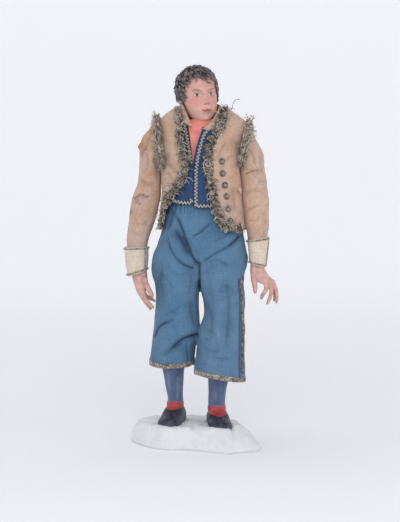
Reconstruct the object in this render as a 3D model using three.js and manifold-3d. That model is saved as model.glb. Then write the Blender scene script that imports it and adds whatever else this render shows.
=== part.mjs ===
// A standing commoner figure of the kind made for nativity scenes: a painted head, hands and lower legs on a
// body dressed in cloth, its shoes set in a plaster mound. Millimetres, +Z up. The figure faces -Y, so its
// right side is at -X. The origin is on the floor, under the middle of the mound.
import * as THREE from "three";
import { mergeVertices } from "three/addons/utils/BufferGeometryUtils.js";
import Module from "manifold-3d";

const wasm = await Module();
wasm.setup();

// Driving dimensions
const GAP = 0.3; // between pieces that touch
const CLOTH = 1.6;
const MOUND = { height: 22.5, rim: 3 };
const SHIRT = { foot: 246.8, top: 325 };
// inside and outside are the cloth's lifts off the trunk
const WAISTCOAT = { footRight: 242.5, footLeft: 237, meet: -1.2, inside: 0.4, outside: 2.3 };
const JACKET = { foot: 217, inside: 2.8, outside: 5.2 };
const HEAD = { x: 3.9, y: 1, z: 349, yaw: 20, roll: 5 };
const LEG_TOP = 127.7; // where a leg ends in its breeches
const FRINGE = { half: 4.2, thick: 2.6, wave: 0.16 };
const BRAID = { half: 1.5, thick: 1.2 };
const BUTTON = { radius: 3, height: 2 };

const V = (x, y, z) => new THREE.Vector3(x, y, z);
const rad = THREE.MathUtils.degToRad;
const { clamp, lerp, smoothstep } = THREE.MathUtils;

// Solids and meshes

// The closed solid of a geometry, whichever way its faces were wound.
function solid(geometry) {
  const bare = geometry.clone();
  bare.deleteAttribute("normal");
  bare.deleteAttribute("uv");
  const merged = mergeVertices(bare, 1e-3);
  const triVerts = new Uint32Array(merged.index.array);
  const vertProperties = merged.attributes.position.array;
  const make = () => new wasm.Manifold(new wasm.Mesh({ numProp: 3, vertProperties, triVerts }));
  const made = make();
  if (made.volume() >= 0) return made;
  for (let i = 0; i < triVerts.length; i += 3) {
    [triVerts[i + 1], triVerts[i + 2]] = [triVerts[i + 2], triVerts[i + 1]];
  }
  return make();
}

// A solid as a geometry again.
function surface(made) {
  const { vertProperties, triVerts, numProp } = made.getMesh();
  const positions = new Float32Array((vertProperties.length / numProp) * 3);
  for (let i = 0; i < positions.length / 3; i++) {
    positions.set(vertProperties.subarray(i * numProp, i * numProp + 3), i * 3);
  }
  const geometry = new THREE.BufferGeometry();
  geometry.setAttribute("position", new THREE.BufferAttribute(positions, 3));
  geometry.setIndex(new THREE.BufferAttribute(triVerts, 1));
  geometry.computeVertexNormals();
  return geometry;
}

// The largest body that is left when others are cut from a solid.
function cut(made, ...others) {
  const left = others.reduce((rest, other) => rest.subtract(other), made);
  return left.decompose().reduce((a, b) => (b.volume() > a.volume() ? b : a));
}

const join = (first, ...others) => others.reduce((all, other) => all.add(other), first);

// Moves every vertex of a geometry.
function reshape(geometry, place) {
  const p = geometry.attributes.position;
  const from = new THREE.Vector3();
  for (let i = 0; i < p.count; i++) {
    const to = place(from.fromBufferAttribute(p, i));
    p.setXYZ(i, to.x, to.y, to.z);
  }
  return geometry;
}

// Forms

// A closed tube of rows and sides. place(t, angle, share) gives its skin where share is 1 and its axis where
// share is 0.
function tube(sides, rows, place) {
  return reshape(new THREE.CylinderGeometry(1, 1, 1, sides, rows), (v) =>
    place(0.5 - v.y, Math.atan2(v.x, v.z), Math.hypot(v.x, v.z)),
  );
}

const rounded = (value, power) => Math.sign(value) * Math.abs(value) ** (2 / power);

// How far creases move a point of a skin. Each is a line [x, z], [x, z], ... seen from the front or the back,
// with its half width and its lift, which is below 0 for a hollow. backward is -1 at the very front.
function pressed(p, backward, creases) {
  let sum = 0;
  for (const { line, half, lift, back = false } of creases) {
    const facing = smoothstep(back ? backward : -backward, -0.05, 0.3);
    if (facing === 0) continue;
    let near = Infinity;
    for (let i = 1; i < line.length; i++) {
      const [ax, az] = line[i - 1];
      const [bx, bz] = line[i];
      const [dx, dz] = [bx - ax, bz - az];
      const along = clamp(((p.x - ax) * dx + (p.z - az) * dz) / (dx * dx + dz * dz), 0, 1);
      near = Math.min(near, Math.hypot(p.x - ax - along * dx, p.z - az - along * dz));
    }
    sum += facing * lift * Math.exp(-((near / half) ** 2));
  }
  return sum;
}

// The skin through sections [x, y, z, half width, half depth, tilt, pitch], top to bottom: at(t, angle, grow,
// share) is a point of it at the share t of the way down, grown outwards, and row(t) is its section there.
function skin(sections, { power = 2.2, creases = [] } = {}) {
  const middle = new THREE.CatmullRomCurve3(sections.map((s) => V(s[0], s[1], s[2])));
  const girth = new THREE.CatmullRomCurve3(sections.map((s) => V(s[3], s[4], 0)));
  const lean = new THREE.CatmullRomCurve3(sections.map((s) => V(rad(s[5] ?? 0), rad(s[6] ?? 0), 0)));
  const row = (t) => {
    const { x: w, y: d } = girth.getPoint(t);
    const { x: tilt, y: pitch } = lean.getPoint(t);
    return { m: middle.getPoint(t), w, d, tilt, pitch };
  };
  const at = (t, angle, grow = 0, share = 1) => {
    const { m, w, d, tilt, pitch } = row(t);
    const across = share * Math.max(w + grow, 0.4) * rounded(Math.cos(angle), power);
    const deep = share * Math.max(d + grow, 0.4) * rounded(Math.sin(angle), power);
    const p = V(
      m.x + across * Math.cos(tilt),
      m.y + deep * Math.cos(pitch),
      m.z + across * Math.sin(tilt) + deep * Math.sin(pitch),
    );
    const out = V(across, deep, 0).normalize();
    return p.addScaledVector(out, share * pressed(p, Math.sin(angle), creases));
  };
  return { row, at };
}

// A closed loft over a skin, from one share of its length to another.
function loft(form, { sides = 20, rows = 10, grow = 0, from = 0, to = 1 } = {}) {
  return solid(tube(sides, rows, (t, angle, share) => form.at(lerp(from, to, t), angle, grow, share)));
}

// A ring of trimming round a skin at t, half as high as halfHigh says.
function ring(form, t, { lift = GAP, halfHigh = BRAID.half, thick = BRAID.thick, around = 12 } = {}) {
  const hoop = new THREE.TorusGeometry(1, 0.5, 3, around);
  return solid(
    reshape(hoop, (v) => {
      const outward = 0.5 + (Math.hypot(v.x, v.y) - 1); // 0 on the inner side of the section, 1 on the outer
      const p = form.at(t, Math.atan2(v.y, v.x), lift + thick * outward);
      return p.setZ(p.z + v.z * 2 * halfHigh);
    }),
  );
}

// A strip of trimming along a skin. route(t) gives its place as [share of the length, angle].
function strip(form, route, { lift = GAP, half = BRAID.half, thick = BRAID.thick, rows = 8, wave = 0 } = {}) {
  const step = 0.01;
  return solid(
    tube(5, rows, (t, angle, share) => {
      const [down, turn] = route(t);
      const p = form.at(down, turn, lift + (thick / 2) * (1 + share * Math.sin(angle)));
      const along = form.at(...route(t + step)).sub(form.at(...route(t - step)));
      const out = form.at(down, turn, 1).sub(form.at(down, turn));
      const reach = share * half * (1 + wave * Math.sin(t * rows * 2.4)) * Math.cos(angle);
      return p.addScaledVector(along.cross(out).normalize(), reach);
    }),
  );
}

// A round tapered limb through points [x, y, z, radius], closed by a rounded tip.
function limb(points, sides = 5, rows = 4) {
  const line = new THREE.CatmullRomCurve3(points.map((p) => V(p[0], p[1], p[2])));
  const thick = new THREE.CatmullRomCurve3(points.map((p) => V(p[3], 0, 0)));
  const tipStart = 0.8;
  return solid(
    tube(sides, rows, (t, angle, share) => {
      const along = line.getTangent(t);
      const side = V(0, 1, 0).cross(along).normalize();
      const other = along.clone().cross(side);
      const tip = t > tipStart ? Math.sqrt(Math.max(1 - ((t - tipStart) / (1 - tipStart)) ** 2, 0.12)) : 1;
      const r = share * thick.getPoint(t).x * tip;
      const place = line.getPoint(t).addScaledVector(side, r * Math.cos(angle));
      return place.addScaledVector(other, r * Math.sin(angle));
    }),
  );
}

// A block that spans the depth from one y to another, with an outline of [x, z] points.
function slab(outline, nearY, farY) {
  const shape = new THREE.Shape(outline.map(([x, z]) => new THREE.Vector2(x, z)));
  const block = new THREE.ExtrudeGeometry(shape, { depth: farY - nearY, bevelEnabled: false });
  return solid(reshape(block, (v) => V(v.x, nearY + v.z, v.y)));
}

// Everything under a height, and everything above one.
const below = (z) => slab([[-90, 100], [90, 100], [90, z], [-90, z]], -60, 60);
const above = (z) => slab([[-90, z], [90, z], [90, 400], [-90, 400]], -60, 60);

// The trunk, whose surface carries the shirt, the waistcoat and the jacket at growing lifts

const TRUNK_POWER = 2.3;
const trunk = [
  [6, 3, 340, 15, 6],
  [6, 3, 336, 23.5, 9.5],
  [6.5, 3, 331, 31, 12.8],
  [7.5, 2.5, 326, 37, 16],
  [8.5, 2, 319, 39.6, 19.5],
  [7.5, 1.5, 308, 37.5, 23],
  [6.2, 1, 294, 35, 25],
  [6.5, 0.5, 275, 34.5, 25.5],
  [7.3, 0, 256, 35, 25.5],
  [7.4, 0, 240, 36.4, 26.5],
  [7.5, 0, 226, 38.4, 28],
  [7.5, 0, 206, 41, 30.5],
];
const JACKET_FOLDS = [
  { line: [[-26, 318], [-23, 300], [-24, 286]], half: 7, lift: 1.6 },
  { line: [[-28, 284], [-18, 274]], half: 6, lift: -1.4 },
  { line: [[-26, 266], [-25, 250]], half: 6, lift: 1.2 },
  { line: [[28, 314], [22, 300]], half: 7, lift: 1.2 },
  { line: [[38, 262], [41, 234]], half: 6, lift: -1.4 },
  { line: [[6, 322], [6, 280], [7, 222]], half: 6, lift: -1.4, back: true },
  { line: [[-18, 262], [-18, 212]], half: 6, lift: 1.4, back: true },
  { line: [[32, 262], [32, 212]], half: 6, lift: 1.4, back: true },
];
const bodyForm = skin(trunk, { power: TRUNK_POWER });
const jacketForm = skin(trunk, { power: TRUNK_POWER, creases: JACKET_FOLDS });
const TRUNK_FACES = { sides: 14, rows: 8 };

// The share of the trunk's length at a height.
function downTrunk(z) {
  let low = 0;
  let high = 1;
  for (let i = 0; i < 24; i++) {
    const t = (low + high) / 2;
    if (bodyForm.row(t).m.z > z) low = t;
    else high = t;
  }
  return low;
}

// The point of the trunk's front over [x, z] at a lift.
function onTrunk(x, z, lift) {
  const { m, w, d } = bodyForm.row(downTrunk(clamp(z, 207, 339)));
  const share = clamp(Math.abs(x - m.x) / (w + lift), 0, 0.995);
  return V(x, m.y - (d + lift) * (1 - share ** TRUNK_POWER) ** (1 / TRUNK_POWER), z);
}

// A band of trimming that lies on the trunk's front along [x, z] points, its edge wavy where wave is over 0.
function band(points, lift, { half = BRAID.half, thick = BRAID.thick, rows = 12, wave = 0 } = {}) {
  const line = new THREE.SplineCurve(points.map(([x, z]) => new THREE.Vector2(x, z)));
  return solid(
    tube(4, rows, (t, angle, share) => {
      const p = line.getPointAt(t);
      const along = line.getTangentAt(t);
      const reach = half * (1 + wave * Math.sin(t * rows * 2.4)) * share * Math.cos(angle);
      const height = lift + (thick / 2) * (1 + share * Math.sin(angle));
      return onTrunk(p.x + along.y * reach, p.y - along.x * reach, height);
    }),
  );
}

// Collar

const COLLAR = { wall: 1.8, power: 2.6, faces: 14 };
const collarSections = [
  [6, 1.5, 341, 20.4, 18.6, -4, 8],
  [6, 0.5, 333, 20.8, 21.4, -8, 14],
  [6, 0, 325.5, 21.6, 24, -11, 20],
];

// Sections with their first one repeated higher up and their last one lower down, where these are over 0.
function extended(sections, up, down) {
  const [x, y, z, ...rest] = sections[0];
  const [endX, endY, endZ, ...endRest] = sections[sections.length - 1];
  const first = up > 0 ? [[x, y, z + up, ...rest]] : [];
  const last = down > 0 ? [[endX, endY, endZ - down, ...endRest]] : [];
  return [...first, ...sections, ...last];
}

// A loft that has a row at each of its sections and none between.
function plainLoft(sections, sides, grow = 0, power = 2.2) {
  return loft(skin(sections, { power }), { sides, rows: sections.length - 1, grow });
}

// The collar's shell, with a gap round it where grow is over 0.
function collarShell(grow = 0) {
  const outer = plainLoft(extended(collarSections, 0, grow), COLLAR.faces, grow, COLLAR.power);
  const inner = plainLoft(extended(collarSections, 8, 4), COLLAR.faces, -COLLAR.wall - grow, COLLAR.power);
  return outer.subtract(inner);
}
// What shows between the collar's front corners, as [x, z].
const throat = [
  [-15, 352],
  [-12.6, 341],
  [-9, 333],
  [-4.6, 323],
  [-4, 306],
  [6.8, 306],
  [6.8, 317],
  [9.6, 321],
  [16.4, 326],
  [22, 333],
  [25.4, 341],
  [27, 352],
];

// Head

// Rounded masses [x, y, z, radius x, radius y, radius z] that blend into the head. The face looks along -Y.
const MASSES = [
  [0, 4, 8, 18.4, 21.5, 20.5],
  [0, -4, -5, 16.5, 17, 19.5],
  [0, -8, -15, 13.5, 12.5, 11.8],
];
// What rises from the face, or sinks into it, as [x, z, half width, half height, lift]; it is mirrored.
const FEATURES = [
  [7.5, 7.4, 6.4, 2.6, 1.3],
  [8.2, 2, 5, 3.4, -3],
  [8.2, 1.6, 3, 2, 1.8],
  [0, 1, 2.4, 6.5, 3.8],
  [0, -6.4, 3, 3, 6],
  [3.3, -7.4, 1.8, 2, 1.8],
  [0, -13.4, 5, 1.7, 2.4],
  [0, -17, 4.2, 1.7, 2.2],
  [0, -20, 5, 1.8, -1],
  [0, -23.4, 4.6, 3, 2],
  [11.5, -4, 5, 4.6, 1],
];
const EAR = { x: 19, y: 2.5, z: 0, rx: 2.4, ry: 4.2, rz: 6.6 };
const HAIR = { lift: 2, brow: 17, burn: -7, nape: -13, locks: 13, depth: 0.8 };

// How far a point is from the blended masses, about right near their surface.
function fromMasses(p, blend = 5) {
  let far = Infinity;
  for (const [x, y, z, rx, ry, rz] of MASSES) {
    const q = V((p.x - x) / rx, (p.y - y) / ry, (p.z - z) / rz);
    const steep = V(q.x / rx, q.y / ry, q.z / rz).length();
    const d = (q.length() * (q.length() - 1)) / Math.max(steep, 1e-6);
    const h = clamp(0.5 + (far - d) / (2 * blend), 0, 1);
    far = far === Infinity ? d : far + (d - far) * h - blend * h * (1 - h);
  }
  return far;
}

// How far the face stands out at a point of the head.
function faceAt(p) {
  const facing = smoothstep(-p.y, 2, 10);
  let sum = 0;
  for (const [x, z, halfX, halfZ, lift] of FEATURES) {
    for (const side of x === 0 ? [1] : [1, -1]) {
      sum += lift * Math.exp(-(((p.x - side * x) / halfX) ** 2) - ((p.z - z) / halfZ) ** 2);
    }
  }
  return facing * sum;
}

// How far the hair stands out: short locks over the crown, down to the nape and in front of the ears.
function hairAt(p) {
  const { lift, brow, burn, nape, locks, depth } = HAIR;
  const side = lerp(brow, burn, smoothstep(p.y, -10, -4));
  const hairline = lerp(side, nape, smoothstep(p.y, 4, 12));
  const turn = Math.atan2(p.y, p.x);
  const lock = Math.sin(turn * locks + p.z * 0.3) * Math.cos(p.z * 0.5 + 2 * Math.sin(turn * 3));
  return smoothstep(p.z, hairline - 1.5, hairline + 1.5) * (lift + depth * lock);
}

// Head, ears and neck as one solid in the figure's frame.
function headSolid(grow = 0) {
  const skull = new THREE.SphereGeometry(1, 24, 17).rotateX(Math.PI / 2);
  reshape(skull, (v) => {
    // More of the rows and columns on the face than on the hair
    const turn = Math.atan2(v.x, -v.y);
    const fall = Math.acos(clamp(v.z, -1, 1));
    const closer = turn - 0.55 * Math.sin(turn);
    const level = fall + 0.22 * (Math.sin(2 * fall - 0.5) + Math.sin(0.5));
    const unit = V(Math.sin(level) * Math.sin(closer), -Math.sin(level) * Math.cos(closer), Math.cos(level));
    let low = 8;
    let high = 45;
    for (let i = 0; i < 18; i++) {
      const r = (low + high) / 2;
      if (fromMasses(unit.clone().multiplyScalar(r)) < 0) low = r;
      else high = r;
    }
    const p = unit.clone().multiplyScalar(low);
    return p.addScaledVector(unit, hairAt(p) + grow).setY(p.y - faceAt(p));
  });
  const ears = [1, -1].map((side) => {
    const ear = new THREE.SphereGeometry(1, 6, 5).scale(EAR.rx + grow, EAR.ry + grow, EAR.rz + grow);
    return solid(ear.translate(side * EAR.x, EAR.y, EAR.z));
  });
  const turned = surface(join(solid(skull), ...ears))
    .rotateY(-rad(HEAD.roll))
    .rotateZ(rad(HEAD.yaw))
    .translate(HEAD.x, HEAD.y, HEAD.z);
  const neck = skin(
    [
      [5, 3, 346, 13, 14],
      [5.2, 3, 334, 13, 13.6],
      [5.4, 2.5, 325, 12.4, 12.4],
      [5.6, 2.5, 316.8 - grow, 12, 12],
    ],
    { power: 2 },
  );
  return join(solid(turned), loft(neck, { sides: 12, rows: 3, grow }));
}

// Legs: stocking and shoe, carved in one

const LEGS = {
  right: {
    shoe: { x: -19.5, y: 10, z: 18.8, turn: 14 },
    calf: [
      [-20, 8, LEG_TOP, 13, 13],
      [-21, 8, 98, 12.8, 13],
      [-21.4, 8.5, 80, 11.8, 12],
      [-20.6, 9.5, 62, 9.4, 10],
      [-19.6, 10.5, 48, 8, 8.8],
      [-19.4, 10.5, 38, 8, 9],
      [-19.4, 10, 26, 7.4, 8.4],
    ],
  },
  left: {
    shoe: { x: 22.6, y: -2, z: 17.8, turn: -8 },
    calf: [
      [28.4, -3.6, LEG_TOP, 12.6, 12.8],
      [26.4, -3.5, 92, 12.4, 12.6],
      [24.4, -3.5, 72, 11, 11.4],
      [23, -3, 56, 9.2, 10],
      [22.2, -2, 43, 8.6, 9],
      [22.4, -2, 34, 8.4, 9],
      [22.6, -2, 25, 7.6, 8.4],
    ],
  },
};

// Sections of a shoe along its length: [reach forward of the ankle, half width, half height].
const SHOE = [
  [-15, 3.4, 4.4],
  [-13, 7, 7.6],
  [-6, 8.8, 9.6],
  [2, 9.4, 10.4],
  [9, 9.8, 9.2],
  [17, 10.3, 6.6],
  [26, 10.2, 5.2],
  [33, 8, 4.4],
  [37, 3.4, 3],
];

function legSolid({ shoe, calf }, grow = 0) {
  const last = skin(SHOE.map(([reach, half, high]) => [0, high, reach, half, high]), { power: 2.4 });
  const shape = tube(10, 7, (t, angle, share) => last.at(t, angle, grow, share))
    .rotateX(Math.PI / 2)
    .rotateZ(-rad(shoe.turn))
    .translate(shoe.x, shoe.y, shoe.z);
  return join(loft(skin(calf, { power: 2 }), { sides: 10, rows: 5, grow }), solid(shape));
}

// Plaster mound

// The mound's outline on the floor, as [x, y], from its left back corner round its front.
const MOUND_EDGE = [
  [-64.5, 17],
  [-58, -2],
  [-46, -22],
  [-32, -35],
  [-12, -37.5],
  [8, -45],
  [24, -55],
  [36, -60],
  [50, -51],
  [62, -46],
  [66, -34],
  [62, -14],
  [54, 8],
  [44, 26],
  [28, 40],
  [6, 47.5],
  [-18, 49],
  [-42, 46],
  [-58, 36],
];

// The mound's height at a share of the way from its middle to its edge, over [x, y]: it stands steep behind
// and on the figure's right, and falls gently to its front and left, with slight lumps.
function moundHeight(share, x, y) {
  const gentle = smoothstep(x - 0.6 * y, -20, 90);
  const lumps = 0.9 * Math.sin(x * 0.16 + 1) * Math.sin(y * 0.19) + 0.6 * Math.sin(x * 0.31 + y * 0.23);
  return MOUND.rim + (MOUND.height + share * lumps - MOUND.rim) * (1 - share ** lerp(12, 3.2, gentle));
}

function moundSolid() {
  const shares = [0.65, 0.88, 0.97, 1];
  const profile = [[0, 1], ...shares.map((s) => [s, 1]), [1, 0], [0, 0]];
  const turned = new THREE.LatheGeometry(profile.map(([r, h]) => new THREE.Vector2(r, h)), 23);
  const edge = new THREE.CatmullRomCurve3(MOUND_EDGE.map(([x, y]) => V(x, y, 0)), true);
  return solid(
    reshape(turned, (v) => {
      const share = Math.hypot(v.x, v.z);
      const around = (Math.atan2(v.x, v.z) / (2 * Math.PI) + 1) % 1;
      const p = edge.getPointAt(around).multiplyScalar(share);
      return p.setZ(v.y > 0.5 ? moundHeight(share, p.x, p.y) : 0);
    }),
  );
}

// Breeches

// The folds that show from a step away.
const BREECHES_FOLDS = [
  { line: [[-16, 232], [-11, 213], [-4, 197], [4, 183]], half: 5.5, lift: -4.4 },
  { line: [[-20, 206], [-11, 190], [0, 179]], half: 4.5, lift: -1.8 },
  { line: [[19, 228], [8, 212]], half: 5, lift: -1.4 },
  { line: [[45, 212], [28, 199]], half: 5, lift: -2.4 },
  { line: [[-6, 134], [-26, 127], [-42, 110]], half: 6, lift: -3 },
  { line: [[2, 117], [-14, 107], [-32, 95]], half: 6, lift: -3.2 },
  { line: [[12, 146], [18, 120], [14, 96]], half: 7, lift: -1.4 },
  { line: [[6, 236], [5, 205], [5, 180]], half: 6, lift: -3, back: true },
  { line: [[-26, 180], [-10, 160], [-20, 138]], half: 6, lift: -2.4, back: true },
  { line: [[36, 180], [20, 160], [30, 138]], half: 6, lift: -2.4, back: true },
  { line: [[-34, 120], [-12, 106]], half: 6, lift: -2, back: true },
  { line: [[42, 116], [22, 102]], half: 6, lift: -2, back: true },
];
const seat = [
  [6.8, 0, SHIRT.foot - GAP, 33.6, 24.2],
  [6.9, 0, 239, 34.6, 25],
  [7.2, 0, 230, 37.4, 27],
  [7.5, 0, 218, 40.2, 29.4],
  [6.8, 0, 204, 43.6, 31.4],
  [5.6, 0, 190, 46, 31.6],
  [5, 0, 178, 44, 27],
  [5, 0, 168, 34, 18],
];
const trouserLegs = {
  right: [
    [-12, 0.5, 214, 19, 26],
    [-18, 0.5, 190, 23.6, 30.4],
    [-19, 1, 176, 23.8, 29.4],
    [-17, 2, 158, 21.4, 26.6],
    [-17.6, 3, 145, 20.2, 24.6],
    [-18.4, 4, 127, 21.6, 23.6],
    [-18.8, 5, 113, 22, 23],
    [-21, 6, 98, 21.8, 22],
    [-22.6, 6.5, 81.5, 22.6, 21.4, 1, 8],
  ],
  left: [
    [26, -0.5, 214, 19, 26],
    [28.4, -1, 190, 24, 30.4],
    [27.6, -1.5, 177, 23.8, 29.4],
    [26.6, -2.5, 163, 22, 26.8],
    [28.6, -3.5, 146, 21.8, 24.8],
    [29.6, -4, 131, 20.6, 23.8],
    [27.8, -4.5, 115, 22.8, 23.4],
    [25.8, -5.5, 95, 24, 23.4],
    [23.2, -6, 70, 27.2, 23.8, -10, 2],
  ],
};
const LEG_FACES = { sides: 14, rows: 9 };
const seatForm = skin(seat, { creases: BREECHES_FOLDS });
const legForms = {
  right: skin(trouserLegs.right, { creases: BREECHES_FOLDS }),
  left: skin(trouserLegs.left, { creases: BREECHES_FOLDS }),
};

function breechesSolid(grow = 0) {
  const cloth = Object.values(legForms).map((form) => loft(form, { ...LEG_FACES, grow }));
  return join(loft(seatForm, { sides: 14, rows: 5, grow }), ...cloth);
}

const LINING = 4; // more thickness than the cloth's own, above the hem
// The open inside of one leg, from its hem up to where the knee closes it.
function legHollow(side) {
  const sections = trouserLegs[side];
  const plain = skin(sections);
  const ceiling = LEG_TOP + GAP;
  let t = 0;
  while (plain.row(t).m.z > ceiling) t += 0.002;
  const { m, w, d } = plain.row(t);
  const lower = sections.filter(([, , z]) => z < ceiling - 10);
  const hem = lower.pop();
  const thick = [[m.x, m.y, ceiling, w, d], ...lower].map(([x, y, z, ...girth]) => [
    x,
    y,
    z,
    ...girth.map((half) => half - LINING),
  ]);
  return plainLoft(extended([...thick, hem], 0, 12), LEG_FACES.sides, -CLOTH);
}

// Jacket and waistcoat edges

// The edges of the two front panels, top to bottom, as [x, z].
const EDGE_RIGHT = [
  [-16, 339],
  [-15, 322],
  [-13, 302],
  [-9, 287],
  [-7, 278],
  [-12, 267],
  [-19, 257],
  [-25, 248],
  [-29, 238],
  [-31, 227],
  [-33, 216],
];
const EDGE_LEFT = [
  [29, 339],
  [26.5, 324],
  [20.5, 310],
  [16.5, 297],
  [16.5, 282],
  [18.5, 267],
  [21, 252],
  [24, 237],
  [27, 226],
  [33, 218.5],
  [46, 216],
];
const jacketOpening = [
  [EDGE_RIGHT[0][0], 352],
  ...EDGE_RIGHT,
  [-34, 200],
  [60, 200],
  [60, 214],
  ...EDGE_LEFT.slice().reverse(),
  [EDGE_LEFT[0][0], 352],
];
const waistcoatOpening = [
  [-9, 352],
  [-5.2, 321],
  [-3.6, 301],
  [-1.4, 281],
  [0, 281],
  [3.4, 296],
  [6.4, 306],
  [8.4, 317],
  [12, 352],
];
const FRINGE_RIGHT = [[-16.6, 337], ...EDGE_RIGHT.slice(1)];
const FRINGE_LEFT = [[29, 337], ...EDGE_LEFT.slice(1)];
const BRAID_RIGHT = [
  [-9, 325],
  [-7, 311],
  [-5, 297],
  [-3.4, 281],
];
const BRAID_HEM_RIGHT = [
  [-22, 247],
  [-12, 244.6],
  [-3.4, 244.6],
];
const BRAID_LEFT = [
  [17, 317],
  [11, 311],
  [7.6, 303],
  [4.6, 291],
  [2.4, 277],
  [1.6, 262],
  [1.6, 247],
  [4, 241.4],
  [12, 241],
  [24, 241.4],
];

// Buttons down the figure's left front panel, each flat and round with a slight dome.
const BUTTONS = [
  [27, 285],
  [27.6, 273],
  [30, 261.5],
  [31.4, 250.5],
  [33.4, 238],
  [35.4, 226.5],
];

function buttonSolid([x, z]) {
  const lift = JACKET.outside + 2 * GAP;
  const foot = onTrunk(x, z, lift);
  const across = onTrunk(x + 1, z, lift).sub(onTrunk(x - 1, z, lift));
  const down = onTrunk(x, z - 1, lift).sub(onTrunk(x, z + 1, lift));
  const { radius, height } = BUTTON;
  const profile = [[0, 0], [radius, 0], [radius, height * 0.6], [radius * 0.6, height], [0, height]];
  const turned = new THREE.LatheGeometry(profile.map(([r, h]) => new THREE.Vector2(r, h)), 6);
  const out = down.cross(across).normalize();
  turned.applyQuaternion(new THREE.Quaternion().setFromUnitVectors(V(0, 1, 0), out));
  return solid(turned.translate(foot.x, foot.y, foot.z));
}

// Sleeves, cuffs and hands

const ARMS = {
  right: {
    sleeve: [
      [-36, 1.5, 325, 2.6, 7],
      [-38.4, 1.5, 317, 8, 12.6],
      [-41.2, 1.5, 306, 10.6, 15],
      [-43.8, 2, 293, 11.6, 15],
      [-44.6, 3, 280, 11.6, 14],
      [-45.6, 4, 265, 12.2, 13.6],
      [-48.6, 4.5, 246, 14, 13.6],
      [-52.6, 2.5, 226, 13.4, 12.6],
      [-56.4, -0.5, 207, 11.2, 11, 2],
      [-57.4, -2, 199, 10, 10, 3],
      [-57, -3, 190, 8.2, 8.4, 8],
    ],
    cuff: [
      [-58, -1.5, 199.5, 11.6, 11.4, 2],
      [-57.4, -2.6, 187, 11.2, 10.8, 9],
      [-56.9, -3.6, 172.8, 10, 9.6, 18],
    ],
    slit: -45,
    // Wrist, palm and knuckles; then the fingers from the first to the last, and the thumb
    palm: [
      [-57, -3, 189.4, 6, 5.4, 8],
      [-55, -4.2, 172.4, 7.8, 5.2, 18],
      [-53.6, -4.6, 164.8, 7.2, 5, 18],
      [-53, -5.2, 157, 5.2, 4.8, 22],
      [-51, -5.6, 149, 3, 3, 28],
    ],
    fingers: [
      [[-53.4, -6, 156, 2.7], [-51.4, -7, 148.6, 2.5], [-47.2, -7.6, 142.6, 2.3], [-43, -7.8, 136.4, 1.8]],
      [[-51.4, -8, 155, 2.6], [-48.4, -10, 147, 2.4], [-44.4, -10.6, 142.6, 2.2], [-40.4, -10.2, 138.4, 1.7]],
      [[-51, -4, 153, 2.4], [-46, -3.8, 147, 2.2], [-42.6, -3.4, 143.4, 2], [-40.4, -3, 139.4, 1.6]],
      [[-52.6, -2, 155, 2.3], [-49.8, 0, 147, 2.1], [-46, 0.6, 142, 1.9], [-43.4, 0.4, 138, 1.5]],
      [[-51, -7, 169, 3.6], [-47.6, -9.6, 161, 3.3], [-44.2, -10.8, 155, 2.9], [-41.6, -11, 149.4, 2.2]],
    ],
  },
  left: {
    sleeve: [
      [49, 1.5, 322, 2.6, 7],
      [51, 1.5, 315, 6.6, 12.4],
      [53.4, 1, 304, 9.4, 14.6],
      [56.6, 0.5, 290, 12.2, 15],
      [57.6, 0, 276, 12.8, 14.4],
      [59.4, -1, 262, 13, 13.8],
      [61, -3, 246, 13, 13.4],
      [62, -7, 228, 12.2, 12.4],
      [62.4, -11, 211, 10.4, 10.6, 6],
      [62.4, -13, 203, 9.6, 9.8, 4],
      [62.4, -14, 196, 8, 8.2, 0],
    ],
    cuff: [
      [62.8, -12, 208.6, 11.2, 11, 9],
      [62.6, -14, 195, 9.8, 9.6, -3],
      [62.4, -15.6, 181.6, 8.4, 8.2, -14],
    ],
    slit: -20,
    palm: [
      [62.2, -14.4, 195.4, 5.8, 5.2, 0],
      [62, -15.4, 182, 6.6, 5, 4],
      [63.6, -16, 174, 7.4, 5, 22],
      [68.8, -17, 168.6, 6, 4.6, 42],
      [76.4, -18, 164, 3.6, 3.4, 54],
    ],
    fingers: [
      [[71, -18.4, 165, 2.8], [70.8, -20, 158.4, 2.5], [67.8, -18.6, 153, 2.3], [66, -16, 147.8, 1.8]],
      [[74, -18.6, 166, 2.8], [76.2, -20.4, 157, 2.5], [74.8, -19, 150, 2.3], [71.8, -16.4, 142.6, 1.8]],
      [[76.6, -17.8, 167, 2.7], [80, -18.6, 160, 2.4], [81.6, -17, 152.6, 2.2], [81.4, -15, 143.2, 1.7]],
      [[76, -15.6, 166, 2.3], [79, -13.4, 158, 2.1], [80, -11.6, 151, 1.9], [79, -10, 145, 1.5]],
      [[58.6, -15.4, 179, 3.6], [58.8, -17, 169, 3.4], [60, -18.4, 161, 2.9], [60.2, -18, 153.8, 2.3]],
    ],
  },
};

function handSolid({ palm, fingers }) {
  return join(loft(skin(palm), { sides: 8, rows: 4 }), ...fingers.map((points) => limb(points)));
}

// A cuff is open at both ends, so its bore runs past them.
function cuffSolid({ cuff }) {
  const sides = 12;
  return plainLoft(cuff, sides, CLOTH).subtract(plainLoft(extended(cuff, 6, 6), sides));
}

// The gilt braid of a cuff: a ring at each edge and the upright that joins them beside its slit.
function cuffBraid({ cuff, slit }) {
  const form = skin(cuff);
  const lift = CLOTH + GAP;
  const [top, foot] = [0.07, 0.93];
  const rings = [top, foot].map((t) => ring(form, t, { lift, halfHigh: 1, thick: 1 }));
  const upright = strip(form, (t) => [lerp(top, foot, t), rad(slit)], { lift, half: 1, thick: 1, rows: 2 });
  return join(...rings, upright);
}

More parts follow.
